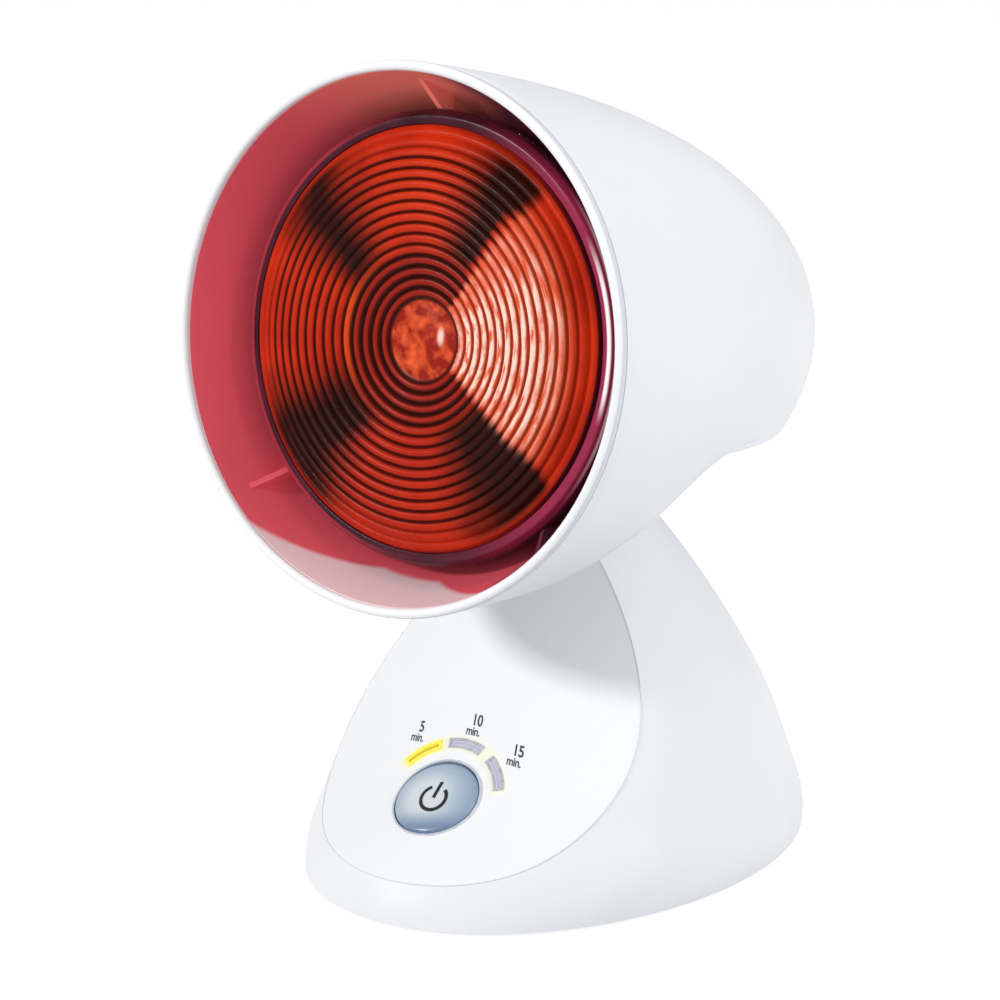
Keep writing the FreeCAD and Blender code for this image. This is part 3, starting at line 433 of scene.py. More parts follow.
class Desk:
    """Short calls that lay out the nodes of one material."""

    def __init__(self, name: str) -> None:
        """Start a material with its shader and output.

        Args:
            name: The material's name.
        """
        self.material = bpy.data.materials.new(name)
        self.material.use_nodes = True
        self.tree = self.material.node_tree
        self.shader = self.tree.nodes["Principled BSDF"]

    def feed(self, socket: Socket, value: Value) -> None:
        """Give an input its value.

        Args:
            socket: The input.
            value: A number, a colour or a signal.
        """
        if isinstance(value, Signal):
            self.tree.links.new(value.socket, socket)
        else:
            socket.default_value = value

    def set(self, **inputs: Value) -> None:
        """Set the shader's inputs by name, with _ for a space."""
        for key, value in inputs.items():
            self.feed(self.shader.inputs[key.replace("_", " ")], value)

    def outs(self, kind: str, inputs: dict[str | int, Value] | None = None,
             **settings: object) -> list[Signal]:
        """Add a node.

        Args:
            kind: Its type without the ShaderNode prefix.
            inputs: Values of its inputs, by name or number.
            settings: Its own properties.

        Returns:
            Its outputs.
        """
        made = self.tree.nodes.new(f"ShaderNode{kind}")
        for key, value in settings.items():
            setattr(made, key, value)
        for key, value in (inputs or {}).items():
            self.feed(made.inputs[key], value)
        return [Signal(self, output) for output in made.outputs]

    def out(self, kind: str, inputs: dict[str | int, Value], output: int = 0, **settings: object) -> Signal:
        """Add a node and take one of its outputs."""
        return self.outs(kind, inputs, **settings)[output]

    def math(self, operation: str, first: Value, second: Value = 0.0) -> Signal:
        """Result of one sum on numbers."""
        return self.out("Math", {0: first, 1: second}, operation=operation)

    def most(self, first: Signal, *others: Value) -> Signal:
        """Find the highest of several values.

        Args:
            first: The first value.
            others: The others.

        Returns:
            The highest.
        """
        for other in others:
            first = self.math("MAXIMUM", first, other)
        return first

    def point(self, seat: Seat | None = None) -> Signal:
        """Read the point that is shaded.

        Args:
            seat: The seat whose frame it is read in, or none for the object's own.

        Returns:
            The point.
        """
        own = self.outs("TexCoord")[OBJECT_POINT]
        if seat is None:
            return own
        return self.out("Mapping", {"Vector": own, "Location": seat.origin, "Rotation": (seat.turn, 0, 0)},
                        vector_type="TEXTURE")

    def split(self, point: Signal) -> tuple[Signal, ...]:
        """X, Y and Z of a point."""
        return tuple(self.outs("SeparateXYZ", {0: point}))

    def length(self, first: Signal, second: Signal) -> Signal:
        """Distance from the origin of a point given by two coordinates."""
        return self.math("SQRT", first * first + second * second)

    def turn_from(self, first: Signal, second: Signal, start: float) -> Signal:
        """Direction of a point in degrees, 0 to 360, counted from a bearing towards the second coordinate."""
        return self.math("FLOORED_MODULO", self.math("DEGREES", self.math("ARCTAN2", second, first)) - start,
                         360.0)

    def ramp(self, value: Signal, start: float, finish: float, low: float, high: float,
             kind: str = "LINEAR") -> Signal:
        """A value led from low at start to high at finish, and held beyond them."""
        return self.out("MapRange", {0: value, 1: start, 2: finish, 3: low, 4: high}, interpolation_type=kind)

    def ease(self, value: Signal, start: float, finish: float, low: float = 0.0, high: float = 1.0) -> Signal:
        """Lead a value smoothly from low at start to high at finish.

        Args:
            value: The value.
            start: Where the step starts.
            finish: Where it ends, before the start where the value falls.
            low: Result up to the start.
            high: Result from the finish on.

        Returns:
            The smooth step.
        """
        if start > finish:
            start, finish, low, high = finish, start, high, low
        return self.ramp(value, start, finish, low, high, "SMOOTHSTEP")

    def window(self, value: Signal, start: float, finish: float, soft_start: float,
               soft_finish: float) -> Signal:
        """One between two values and nothing outside them, with soft ends.

        Args:
            value: The value.
            start: Where the window opens.
            finish: Where it closes.
            soft_start: Half the width of its first end.
            soft_finish: Half the width of its last end.

        Returns:
            The share from 0 to 1.
        """
        return (self.ease(value, start - soft_start, start + soft_start)
                * self.ease(value, finish + soft_finish, finish - soft_finish))

    def patch(self, radius: Signal, ring: Band, turn: Signal, sector: Band) -> Signal:
        """Share of the patch where a ring and a sector of a disc meet."""
        return self.window(radius, *ring) * self.window(turn, *sector)

    def noise(self, point: Signal, scale: float, detail: float, low: float = 0.0,
              high: float = 1.0) -> Signal:
        """Soft noise between two values."""
        noise = self.out("TexNoise", {"Vector": point, "Scale": scale, "Detail": detail})
        return self.ramp(noise, 0.3, 0.7, low, high)

    def mix(self, share: Value, first: Value, second: Value) -> Signal:
        """Blend of two colours."""
        return self.out("Mix", {0: share, 6: first, 7: second}, MIX_COLOUR, data_type="RGBA")

    def coats(self, colour: Value, *coats: tuple[Value, Colour]) -> Value:
        """Lay colours over one another.

        Args:
            colour: The lowest colour.
            coats: The others, each behind its share.

        Returns:
            The blend.
        """
        for share, over in coats:
            colour = self.mix(share, colour, over)
        return colour

    def bump(self, height: Signal, distance: float) -> None:
        """Give the shader a bump from a height."""
        self.set(Normal=self.out("Bump", {"Height": height, "Distance": distance, "Strength": 1.0}))

    def surface(self, point: Signal, colour: Value, rough: Band, grain: Triple, glow: Value | None = None,
                **inputs: Value) -> None:
        """Set the shader up with an uneven roughness and a fine grain.

        Args:
            point: Where the noises are read.
            colour: The surface's colour.
            rough: The roughness's noise: its scale and detail, the lowest and highest roughness.
            grain: The grain's noise: its scale, detail and height.
            glow: How strongly the surface shines in its own colour.
            inputs: The shader's other inputs, with _ for a space.
        """
        scale, detail, height = grain
        self.set(Base_Color=colour, Roughness=self.noise(point, *rough), **inputs)
        if glow is not None:
            self.set(Emission_Color=colour, Emission_Strength=glow)
        self.bump(self.noise(point, scale, detail), height)


@dataclass(frozen=True)
class Finish:
    """What a piece is dressed in: the material's name and how its nodes are laid out."""

    name: str

    def lay(self, desk: Desk) -> None:
        """Lay the material's nodes out.

        Args:
            desk: The desk that they lie on.
        """
        raise NotImplementedError

    def make(self) -> Material:
        """Build the material.

        Returns:
            The material.
        """
        desk = Desk(self.name)
        self.lay(desk)
        return desk.material


@dataclass(frozen=True)
class Moulding(Finish):
    """Injection-moulded plastic: a faint cast in the colour and a fine mould grain."""

    colour: Colour
    shade: Colour
    roughness: float = 0.3
    grain: float = 0.006 * MM
    coat: float = 0.0
    specular: float = 0.5

    def lay(self, desk: Desk) -> None:
        """Lay the nodes out.

        Args:
            desk: The desk that they lie on.
        """
        point = desk.point()
        desk.surface(point, desk.mix(desk.noise(point, 18.0, 2.0), self.colour, self.shade),
                     (60.0, 4.0, self.roughness * 0.9, self.roughness * 1.15), (4200.0, 2.0, self.grain),
                     Specular_IOR_Level=self.specular, Coat_Weight=self.coat, Coat_Roughness=0.04)


@dataclass(frozen=True)
class PanelGloss(Finish):
    """High-gloss panel plastic with a painted yellow glow round the lit timer light and faint painted glows
    at the others.
    """

    name: str = "panel_gloss"
    colour: Colour = screen(248, 249, 250)
    glow: Colour = screen(255, 249, 178)
    faint: Colour = screen(252, 251, 226)
    glow_reach: float = 3.4 * MM
    light_edge: float = 1.2 * MM
    lit: Band = (111.0, 153.0, 6.0, 6.0)
    others: Band = (20.0, 109.0, 6.0, 3.0)

    def lay(self, desk: Desk) -> None:
        """Lay the nodes out.

        Args:
            desk: The desk that they lie on.
        """
        across, along, _ = desk.split(desk.point(BUTTON_SEAT))
        off = desk.math("ABSOLUTE", desk.length(across, along) - LIGHT_RADIUS)
        near = desk.ease(off, self.glow_reach, self.light_edge)
        turn = desk.turn_from(across, along, 0.0)
        # Painted light: a yellow glow round the lit light and faint glows round the others, laid into the
        # panel's colour.
        colour = desk.coats(self.colour, (near * desk.window(turn, *self.others), self.faint),
                            (near * desk.window(turn, *self.lit), self.glow))
        desk.surface(desk.point(), colour, (80.0, 3.0, 0.28, 0.34), (900.0, 2.0, 0.003 * MM),
                     Specular_IOR_Level=0.28)


@dataclass(frozen=True)
class BezelTrim(Finish):
    """Satin silver of the timer lights' frames, painted yellow and glowing round the light that is on."""

    name: str = "bezel_trim"
    silver: Colour = screen(222, 223, 230)
    shade: Colour = screen(186, 187, 197)
    yellow: Colour = screen(248, 228, 84)
    lit: Band = (110.0, 200.0, 1.0, 1.0)
    lit_share: float = 1.0

    def lay(self, desk: Desk) -> None:
        """Lay the nodes out.

        Args:
            desk: The desk that they lie on.
        """
        place = desk.point(BUTTON_SEAT)
        across, along, _ = desk.split(place)
        # Painted light: the frame is painted yellow round the lit light and made to glow there.
        lit = desk.window(desk.turn_from(across, along, 0.0), *self.lit) * self.lit_share
        colour = desk.coats(self.silver, (desk.noise(place, 500.0, 3.0), self.shade), (lit, self.yellow))
        desk.surface(place, colour, (300.0, 3.0, 0.24, 0.34), (2600.0, 2.0, 0.004 * MM), glow=lit * 0.25,
                     Metallic=desk.ease(lit, 0.0, 1.0, 0.45, 0.0))


@dataclass(frozen=True)
class RollWhite(Finish):
    """White gloss of the mouth ring, with painted shade greying it where it rolls over to the outside."""

    name: str = "ring_white"
    colour: Colour = screen(251, 252, 253)
    side: Colour = screen(220, 223, 228)
    reach: Point = (72.45 * MM, 72.85 * MM)

    def lay(self, desk: Desk) -> None:
        """Lay the nodes out.

        Args:
            desk: The desk that they lie on.
        """
        place = desk.point(HEAD_SEAT)
        across, _, up = desk.split(place)
        # Painted shade: the ring greys where it rolls over to the outside.
        colour = desk.mix(desk.ease(desk.length(across, up), *self.reach), self.colour, self.side)
        desk.surface(place, colour, (60.0, 4.0, 0.3, 0.36), (4200.0, 2.0, 0.006 * MM), Specular_IOR_Level=0.3)


@dataclass(frozen=True)
class LitShieldEnamel(Finish):
    """Enamelled heat shield with its light painted in: the bulb's red light painted as crimson, painted
    daylight pale on its front, painted shade further in, lighter, brown and purple tints painted by
    direction, and a faint glow.
    """

    name: str = "lit_shield_enamel"
    # Painted light: crimson stands for the bulb's red light; the tints below are painted by direction.
    crimson: Colour = screen(224, 88, 102)
    painted_bright: Colour = screen(236, 94, 110)
    brown: Colour = screen(238, 124, 110)
    purple: Colour = screen(96, 44, 60)
    painted_deep_shade: Colour = screen(70, 24, 34)
    pale: Colour = screen(232, 200, 204)
    bright_turn: Band = (158.0, 214.0, 26.0, 20.0)
    brown_turn: Point = (132.0, 98.0)
    purple_turns: tuple[Point, Point] = ((88.0, 74.0), (292.0, 312.0))
    deep_depth: Point = (19 * MM, 32 * MM)
    pale_rise: Point = (229.0, 258.0)
    pale_fall: Point = (275.0, 299.0)
    pale_depth: float = 20.0 * MM
    pale_soft: Point = (-1.2 * MM, 1.6 * MM)

    def lay(self, desk: Desk) -> None:
        """Lay the nodes out.

        Args:
            desk: The desk that they lie on.
        """
        across, depth, up = desk.split(desk.point(HEAD_SEAT))
        turn = desk.turn_from(across, up, 0.0)
        reach = desk.math("MINIMUM", desk.ramp(turn, *self.pale_rise, 0.0, self.pale_depth),
                          desk.ramp(turn, *self.pale_fall, self.pale_depth, 0.0)) - depth
        # All painted light: lighter on the left, brown towards the top, purple on the right, painted shade
        # further in, painted daylight pale on the front.
        colour = desk.coats(
            self.crimson,
            (desk.window(turn, *self.bright_turn), self.painted_bright),
            (desk.ease(turn, *self.brown_turn), self.brown),
            *((desk.ease(turn, *ends), self.purple) for ends in self.purple_turns),
            (desk.ease(depth, *self.deep_depth), self.painted_deep_shade),
            (desk.ease(reach, *self.pale_soft), self.pale),
        )
        desk.surface(desk.point(), colour, (90.0, 3.0, 0.4, 0.5), (1500.0, 3.0, 0.01 * MM), glow=0.14,
                     Specular_IOR_Level=0.3, Coat_Weight=0.12, Coat_Roughness=0.2)


@dataclass(frozen=True)
class RubyGlass(Finish):
    """Ruby pressed glass over a mirror, its light painted in: lit quarters, painted shade in dark lines along
    the rib valleys, four dark sectors of painted reflection, a fan of painted glints, a painted glint by the
    eye and painted reflection bands at the right edge.
    """

    name: str = "ruby_glass"
    orange: Colour = screen(208, 52, 18)
    red: Colour = screen(172, 36, 16)
    core: Colour = screen(150, 32, 20)
    # Painted reflection and shade: dark fills the four sectors, line the rib valleys.
    dark: Colour = screen(32, 11, 7)
    line: Colour = screen(52, 14, 8)
    arc: Colour = screen(222, 80, 30)
    # Painted highlight colours: the fan's lighter orange here, the sheen of its glints and the glint beside
    # the eye.
    painted_bright: Colour = screen(228, 84, 44)
    sheen: Colour = screen(255, 214, 196)
    ember: Colour = screen(236, 96, 48)
    glint: Colour = screen(255, 232, 220)
    # Painted reflection at the right edge: a crimson band with a dark line inside it.
    collar: Colour = screen(134, 32, 62)
    collar_dark: Colour = screen(62, 16, 26)
    sectors: tuple[Band, ...] = (
        (24.0, 53.0, 14.0, 3.0),
        (140.0, 160.0, 3.0, 12.0),
        (210.0, 240.0, 14.0, 12.0),
        (292.0, 332.0, 14.0, 12.0),
    )
    sector_ring: Band = (24 * MM, 55.4 * MM, 4.0 * MM, 1.2 * MM)
    fan_turn: Band = (54.0, 138.0, 4.0, 3.0)
    fan_ring: Band = (12 * MM, 49 * MM, 0.8 * MM, 3.0 * MM)
    fan_heart: Band = (60.0, 120.0, 8.0, 12.0)
    glint_ring: Band = (13 * MM, 45 * MM, 3.0 * MM, 6.0 * MM)
    arc_turn: Band = (222.0, 306.0, 12.0, 12.0)
    arc_ring: Band = (22.9 * MM, 25.2 * MM, 0.5 * MM, 0.7 * MM)
    line_ring: Band = (EYE_RADIUS, 51 * MM, 0.3 * MM, 2.0 * MM)
    core_ring: Point = (26 * MM, 20 * MM)
    bold_ring: Point = (25 * MM, 22 * MM)
    collar_turn: Band = (26.0, 152.0, 34.0, 34.0)
    collar_dark_ring: Point = (55.8 * MM, 56.3 * MM)
    collar_ring: Point = (56.8 * MM, 57.2 * MM)
    drift: float = 4.0
    eye_soft: float = 1.0 * MM
    eye_glint: Point = (6.0 * MM, 1.5 * MM)
    eye_glint_squash: float = 0.45
    eye_glint_reach: Point = (1.5 * MM, 0.3 * MM)

    def lay(self, desk: Desk) -> None:
        """Lay the nodes out.

        Args:
            desk: The desk that they lie on.
        """
        place = desk.point(HEAD_SEAT)
        across, _, up = desk.split(place)
        radius = desk.length(across, up)
        turn = desk.turn_from(across, up, FROM_BELOW)
        drift = turn + desk.noise(place, 55.0, 3.0, -self.drift, self.drift)
        fold = desk.math("PINGPONG", radius - EYE_RADIUS, RIB_PITCH / 2)
        wave = desk.math("DIVIDE", fold, RIB_PITCH / 2)
        # Painted highlight: the fan on the right is lighter orange and carries the painted glints.
        fan = desk.patch(radius, self.fan_ring, turn, self.fan_turn)
        eye = desk.ease(radius, EYE_RADIUS, EYE_RADIUS - self.eye_soft)
        arc = desk.patch(radius, self.arc_ring, turn, self.arc_turn)
        # Painted reflection: four dark sectors painted as reflections in the mirror.
        shade = desk.most(*(desk.window(drift, *sector) for sector in self.sectors))
        # Painted shade: dark lines in the rib valleys, bold ones towards the middle.
        fine = (desk.ease(wave, 0.52, 0.2) * desk.window(radius, *self.line_ring)
                * desk.ease(fan, 0.0, 1.0, 0.9, 0.55))
        bold = (desk.ease(wave, 0.74, 0.4) * desk.ease(radius, *self.bold_ring)
                * desk.math("SUBTRACT", 1.0, desk.most(fan, eye)))
        # Painted reflection: the band and dark line at the lens's edge on the right.
        collar = desk.window(turn, *self.collar_turn)
        colour = desk.coats(
            self.orange,
            (desk.noise(place, 40.0, 3.0), self.red),
            (desk.ease(radius, *self.core_ring), self.core),
            (fan, self.painted_bright),
            (eye * desk.noise(place, 260.0, 3.0, -0.4, 1.0), self.ember),
            (arc * 0.7, self.arc),
            (fine, self.line),
            (bold * 0.85, self.line),
            (shade * desk.window(radius, *self.sector_ring) * 0.97, self.dark),
            (self.glints(desk, place, turn, radius, wave), self.sheen),
            (self.glint_beside_eye(desk, across, up), self.glint),
            (collar * desk.ease(radius, *self.collar_dark_ring), self.collar_dark),
            (collar * desk.ease(radius, *self.collar_ring), self.collar),
        )
        desk.surface(place, colour, (300.0, 3.0, 0.24, 0.36), (520.0, 4.0, 0.05 * MM), glow=0.13,
                     Specular_IOR_Level=0.07)

    def glints(self, desk: Desk, place: Signal, turn: Signal, radius: Signal, wave: Signal) -> Signal:
        """Share of the painted glints that run along the ribs' crests in the fan on the right.

        Args:
            desk: The material's desk.
            place: Point in the head's frame.
            turn: Direction round the lens's axis.
            radius: Distance from the axis.
            wave: Place across a rib, 0 in the valley and 1 on the crest.

        Returns:
            The share from 0 to 1.
        """
        rays = desk.out("CombineXYZ", {0: turn * 0.085, 1: radius * 700.0})
        spikes = desk.most(desk.noise(rays, 1.0, 3.0, -0.3, 1.9), 0.0)
        heart = desk.window(turn, *self.fan_heart) + 0.25
        share = heart * desk.window(turn, *self.fan_turn) * spikes * desk.window(radius, *self.glint_ring)
        line = share * desk.noise(place, 640.0, 3.0, 0.75, 1.1) * desk.ease(wave, 0.25, 0.7)
        return desk.math("MINIMUM", line, 1.0)

    def glint_beside_eye(self, desk: Desk, across: Signal, up: Signal) -> Signal:
        """Find the share of the small painted glint beside the lens's eye.

        Args:
            desk: The material's desk.
            across: Distance to the right of the axis.
            up: Height over the axis.

        Returns:
            The share.
        """
        right, high = self.eye_glint
        off = desk.length(across - right, (up - high) * self.eye_glint_squash)
        return desk.ease(off, *self.eye_glint_reach, 0.0, 0.8)


@dataclass(frozen=True)
class DeepGlass(Finish):
    """Thick glass edge: nearly black with a purple cast, a crimson line of painted reflection on the right, a
    painted reflection of the shield's crimson on the left, painted white highlights on the right, and a faint
    glow.
    """

    name: str = "deep_glass"
    dark: Colour = screen(74, 22, 38)
    black: Colour = screen(46, 14, 26)
    crimson: Colour = screen(150, 40, 74)
    wall: Colour = screen(150, 48, 62)
    white: Colour = screen(255, 250, 250)
    line_ring: Band = (56.6 * MM, 60.6 * MM, 0.3 * MM, 0.3 * MM)
    line_turn: Band = (30.0, 150.0, 24.0, 24.0)
    streak_ring: Band = (58.4 * MM, 59.5 * MM, 0.25 * MM, 0.25 * MM)
    streak_turn: Band = (78.0, 114.0, 5.0, 9.0)
    thread_ring: Band = (60.1 * MM, 60.5 * MM, 0.12 * MM, 0.12 * MM)
    thread_turn: Band = (62.0, 122.0, 14.0, 14.0)
    wall_ring: Point = (58.2 * MM, 58.9 * MM)
    wall_turn: Band = (205.0, 345.0, 20.0, 20.0)

    def lay(self, desk: Desk) -> None:
        """Lay the nodes out.

        Args:
            desk: The desk that they lie on.
        """
        place = desk.point(HEAD_SEAT)
        across, _, up = desk.split(place)
        radius = desk.length(across, up)
        turn = desk.turn_from(across, up, FROM_BELOW)
        line = desk.patch(radius, self.line_ring, turn, self.line_turn)
        streak = desk.patch(radius, self.streak_ring, turn, self.streak_turn)
        thread = desk.patch(radius, self.thread_ring, turn, self.thread_turn)
        wall = desk.ease(radius, *self.wall_ring) * desk.window(turn, *self.wall_turn)
        # Painted reflection and highlights: crimson line, white streak and thread on the right, the shield's
        # crimson on the left.
        colour = desk.coats(self.dark, (desk.noise(place, 60.0, 2.0), self.black), (line, self.crimson),
                            (wall, self.wall), (desk.most(streak, thread * 0.6), self.white))
        desk.surface(place, colour, (200.0, 2.0, 0.2, 0.3), (300.0, 2.0, 0.02 * MM), glow=0.2,
                     Specular_IOR_Level=0.14)


@dataclass(frozen=True)
class DrawnMetal(Finish):
    """Metal with fine lines from drawing or turning, along one axis."""

    colour: Colour
    roughness: float = 0.28
    lines: Triple = (1.0, 1.0, 12.0)

    def lay(self, desk: Desk) -> None:
        """Lay the nodes out.

        Args:
            desk: The desk that they lie on.
        """
        point = desk.out("Mapping", {"Vector": desk.point(), "Scale": self.lines})
        darker = (*(channel * 0.72 for channel in self.colour[:3]), 1.0)
        desk.surface(point, desk.mix(desk.noise(point, 500.0, 4.0), darker, self.colour),
                     (350.0, 3.0, self.roughness * 0.8, self.roughness * 1.3), (500.0, 4.0, 0.008 * MM),
                     Metallic=1.0)


@dataclass(frozen=True)
class Porcelain(Finish):
    """Glazed ceramic with a few dark specks."""

    name: str = "porcelain"
    colour: Colour = screen(232, 229, 220)
    speck: Colour = screen(150, 140, 120)

    def lay(self, desk: Desk) -> None:
        """Lay the nodes out.

        Args:
            desk: The desk that they lie on.
        """
        point = desk.point()
        specks = desk.ease(desk.noise(point, 900.0, 1.0), 0.9, 1.0)
        desk.surface(point, desk.mix(specks, self.colour, self.speck), (120.0, 2.0, 0.14, 0.24),
                     (600.0, 2.0, 0.01 * MM), Coat_Weight=0.7, Coat_Roughness=0.05)


@dataclass(frozen=True)
class Pearl(Finish):
    """Pearl lacquer of the start button: painted light pale to the left of the middle, painted shade steel
    blue towards the edge and darker towards the bottom.
    """

    name: str = "button_pearl"
    middle: Colour = screen(216, 223, 228)
    ring: Colour = screen(176, 191, 206)
    edge: Colour = screen(146, 165, 188)
    low: Colour = screen(112, 133, 163)
    lit_spot_left: float = 2.2 * MM
    lit_spot_down: float = 0.6 * MM
    ring_reach: Point = (0.3 * BUTTON_LENGTH, 0.8 * BUTTON_LENGTH)
    edge_reach: Point = (0.7 * BUTTON_LENGTH, 1.15 * BUTTON_LENGTH)
    bottom_shade_reach: Point = (-0.35 * BUTTON_LENGTH, -0.95 * BUTTON_LENGTH)
    lean: float = -0.25

    def lay(self, desk: Desk) -> None:
        """Lay the nodes out.

        Args:
            desk: The desk that they lie on.
        """
        place = desk.point(BUTTON_SEAT)
        across, along, _ = desk.split(place)
        radius = desk.length(across + self.lit_spot_left, along + self.lit_spot_down)
        # Painted light and shade: pale left of the middle, darker rings towards the edge, painted shade at
        # the bottom.
        colour = desk.coats(
            self.middle,
            (desk.ease(radius, *self.ring_reach), self.ring),
            (desk.ease(radius, *self.edge_reach), self.edge),
            (desk.ease(along + across * self.lean, *self.bottom_shade_reach), self.low),
        )
        desk.surface(place, colour, (260.0, 2.0, 0.26, 0.32), (2200.0, 2.0, 0.003 * MM),
                     Specular_IOR_Level=0.35, Coat_Weight=0.2, Coat_Roughness=0.12)


@dataclass(frozen=True)
class LightWindow(Finish):
    """Window of a timer light, with a darker strip along its middle."""

    colour: Colour
    strip: Colour
    glow: float = 0.0
    strip_reach: Point = (0.75 * MM, 0.15 * MM)

    def lay(self, desk: Desk) -> None:
        """Lay the nodes out.

        Args:
            desk: The desk that they lie on.
        """
        place = desk.point(BUTTON_SEAT)
        across, along, _ = desk.split(place)
        off = desk.math("ABSOLUTE", desk.length(across, along) - LIGHT_RADIUS)
        colour = desk.mix(desk.ease(off, *self.strip_reach), self.colour, self.strip)
        desk.surface(place, colour, (400.0, 2.0, 0.1, 0.18), (1500.0, 2.0, 0.01 * MM), glow=self.glow,
                     Coat_Weight=0.8, Coat_Roughness=0.03)


@dataclass(frozen=True)
class Laminate(Finish):
    """Solder-masked circuit board with etched tracks showing through."""

    name: str = "board_laminate"
    mask: Colour = screen(22, 92, 52)
    track: Colour = screen(54, 132, 78)

    def lay(self, desk: Desk) -> None:
        """Lay the nodes out.

        Args:
            desk: The desk that they lie on.
        """
        place = desk.point(BUTTON_SEAT)
        tracks = desk.out("TexBrick", {"Vector": place, "Scale": 260.0, "Mortar Size": 0.05,
                                       "Mortar Smooth": 0.2}, BRICK_MORTAR)
        desk.set(Base_Color=desk.mix(tracks, self.mask, self.track),
                 Roughness=desk.noise(place, 300.0, 2.0, 0.3, 0.42), Coat_Weight=0.4, Coat_Roughness=0.1)
        desk.bump(tracks, 0.03 * MM)


@dataclass(frozen=True)
class Stacked(Finish):
    """Lacquered stack of thin steel sheets."""

    name: str = "stacked_steel"
    colour: Colour = screen(96, 98, 104)
    gap: Colour = screen(48, 50, 56)

    def lay(self, desk: Desk) -> None:
        """Lay the nodes out.

        Args:
            desk: The desk that they lie on.
        """
        point = desk.point()
        sheets = desk.out("TexWave", {"Vector": point, "Scale": 320.0, "Distortion": 0.4},
                          bands_direction="Z")
        desk.set(Base_Color=desk.mix(desk.ease(sheets, 0.7, 0.95), self.gap, self.colour),
                 Metallic=0.7, Roughness=desk.noise(point, 200.0, 3.0, 0.34, 0.5))
        desk.bump(sheets, 0.04 * MM)


@dataclass(frozen=True)
class FloorPaper(Finish):
    """Pale studio paper that keeps the lamp's shadow and reads as white."""

    name: str = "studio_paper"
    colour: Colour = (0.5, 0.51, 0.53, 1.0)
    lift: float = 0.79
    seen_by: tuple[str, ...] = ("Camera", "Glossy", "Transmission")

    def lay(self, desk: Desk) -> None:
        """Lay the nodes out.

        Args:
            desk: The desk that they lie on.
        """
        rays = {ray.socket.name: ray for ray in desk.outs("LightPath")}
        seen = desk.most(*(rays[f"Is {kind} Ray"] for kind in self.seen_by))
        desk.set(Base_Color=self.colour, Roughness=0.9, Specular_IOR_Level=0.1,
                 Emission_Color=WHITE_LIGHT, Emission_Strength=seen * self.lift)


SHELL = {"colour": screen(243, 244, 246), "shade": screen(240, 241, 244), "roughness": 0.42, "specular": 0.28}
SHADE_WHITE = Moulding("shade_white", **SHELL)
BASE_WHITE = Moulding("base_white", **SHELL)
COVER_WHITE = Moulding("cover_white", screen(236, 238, 242), screen(231, 234, 239), 0.34)
NECK_GREY = Moulding("neck_grey", screen(222, 225, 230), screen(214, 218, 224), 0.4)
UNDER_GREY = Moulding("under_grey", screen(196, 199, 204), screen(186, 190, 196), 0.5, grain=0.02 * MM)
BLACK_PLASTIC = Moulding("black_plastic", screen(34, 34, 36), screen(26, 26, 28), 0.42, grain=0.015 * MM)
RELAY_BLUE = Moulding("relay_blue", screen(52, 92, 150), screen(44, 82, 138), 0.38)
FOOT_RUBBER = Moulding("foot_rubber", screen(58, 58, 60), screen(44, 44, 46), 0.75, grain=0.04 * MM)
RESIN = Moulding("diode_resin", screen(240, 236, 200), screen(230, 226, 180), 0.12, coat=0.6)
SEAM_GREY = Moulding("seam_grey", screen(230, 232, 236), screen(224, 226, 230), 0.5, specular=0.2)
INK = Moulding("print_ink", screen(58, 62, 68), screen(50, 54, 60), 0.5)
BLACK_INK = Moulding("symbol_ink", screen(28, 32, 38), screen(22, 26, 32), 0.4)
STEEL = DrawnMetal("plated_steel", screen(196, 198, 204))
BRASS = DrawnMetal("brass", screen(206, 176, 104), lines=(1.0, 12.0, 1.0))
WIRE = DrawnMetal("tungsten", screen(120, 118, 116), roughness=0.4)
MIRROR = DrawnMetal("mirror_back", screen(186, 160, 158), roughness=0.12, lines=(1.0, 1.0, 1.0))
AMBER = LightWindow("light_amber", screen(246, 226, 74), screen(196, 174, 24), glow=0.25)
CLEAR = LightWindow("light_clear", screen(222, 223, 234), screen(188, 190, 212))
BEZEL_TRIM = BezelTrim()
RING_TRIM = BezelTrim("ring_trim", silver=screen(226, 231, 240), shade=screen(212, 218, 230), lit_share=0.0)
LIT_SHIELD_ENAMEL = LitShieldEnamel()
STACKED = Stacked()


class Fitter:
    """Hands every finished piece to the frame and keeps the materials that are made."""

    def __init__(self) -> None:
        """Start with nothing made."""
        self.made: dict[str, Material] = {}

    def material(self, finish: Finish) -> Material:
        """Find the material of a finish, which is made once.

        Args:
            finish: The finish.

        Returns:
            Its material.
        """
        if finish.name not in self.made:
            self.made[finish.name] = finish.make()
        return self.made[finish.name]

    def paint(self, thing: Object, finish: Finish) -> None:
        """Give an object the one material of a finish."""
        thing.data.materials.clear()
        thing.data.materials.append(self.material(finish))

    def fit(self, piece: Object, body: Body, slot: str, finish: Finish, *replaced: str) -> None:
        """Dress a new piece and make it ride on its body.

        Args:
            piece: The finished piece.
            body: The body that carries it.
            slot: The record's material slot; not used.
            finish: Its finish.
            replaced: CAD nodes that it stands for.
        """
        self.paint(piece, finish)
        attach(piece, body.value)
        if replaced:
            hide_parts(*replaced)
        LOG.info("%s on %s", piece.name, body.value)

    def fit_head(self, piece: Object, sharpest: float, slot: str, finish: Finish, *replaced: str) -> None:
        """Shade a turned piece smooth, move it to the head and fit it there.

        Args:
            piece: The turned piece.
            sharpest: Angle in degrees over which an edge stays sharp.
            slot: The record's material slot.
            finish: Its finish.
            replaced: CAD nodes that it stands for.
        """
        Bench.smooth(piece, sharpest)
        Bench.seat(piece, HEAD_SEAT)
        self.fit(piece, Body.HEAD, slot, finish, *replaced)


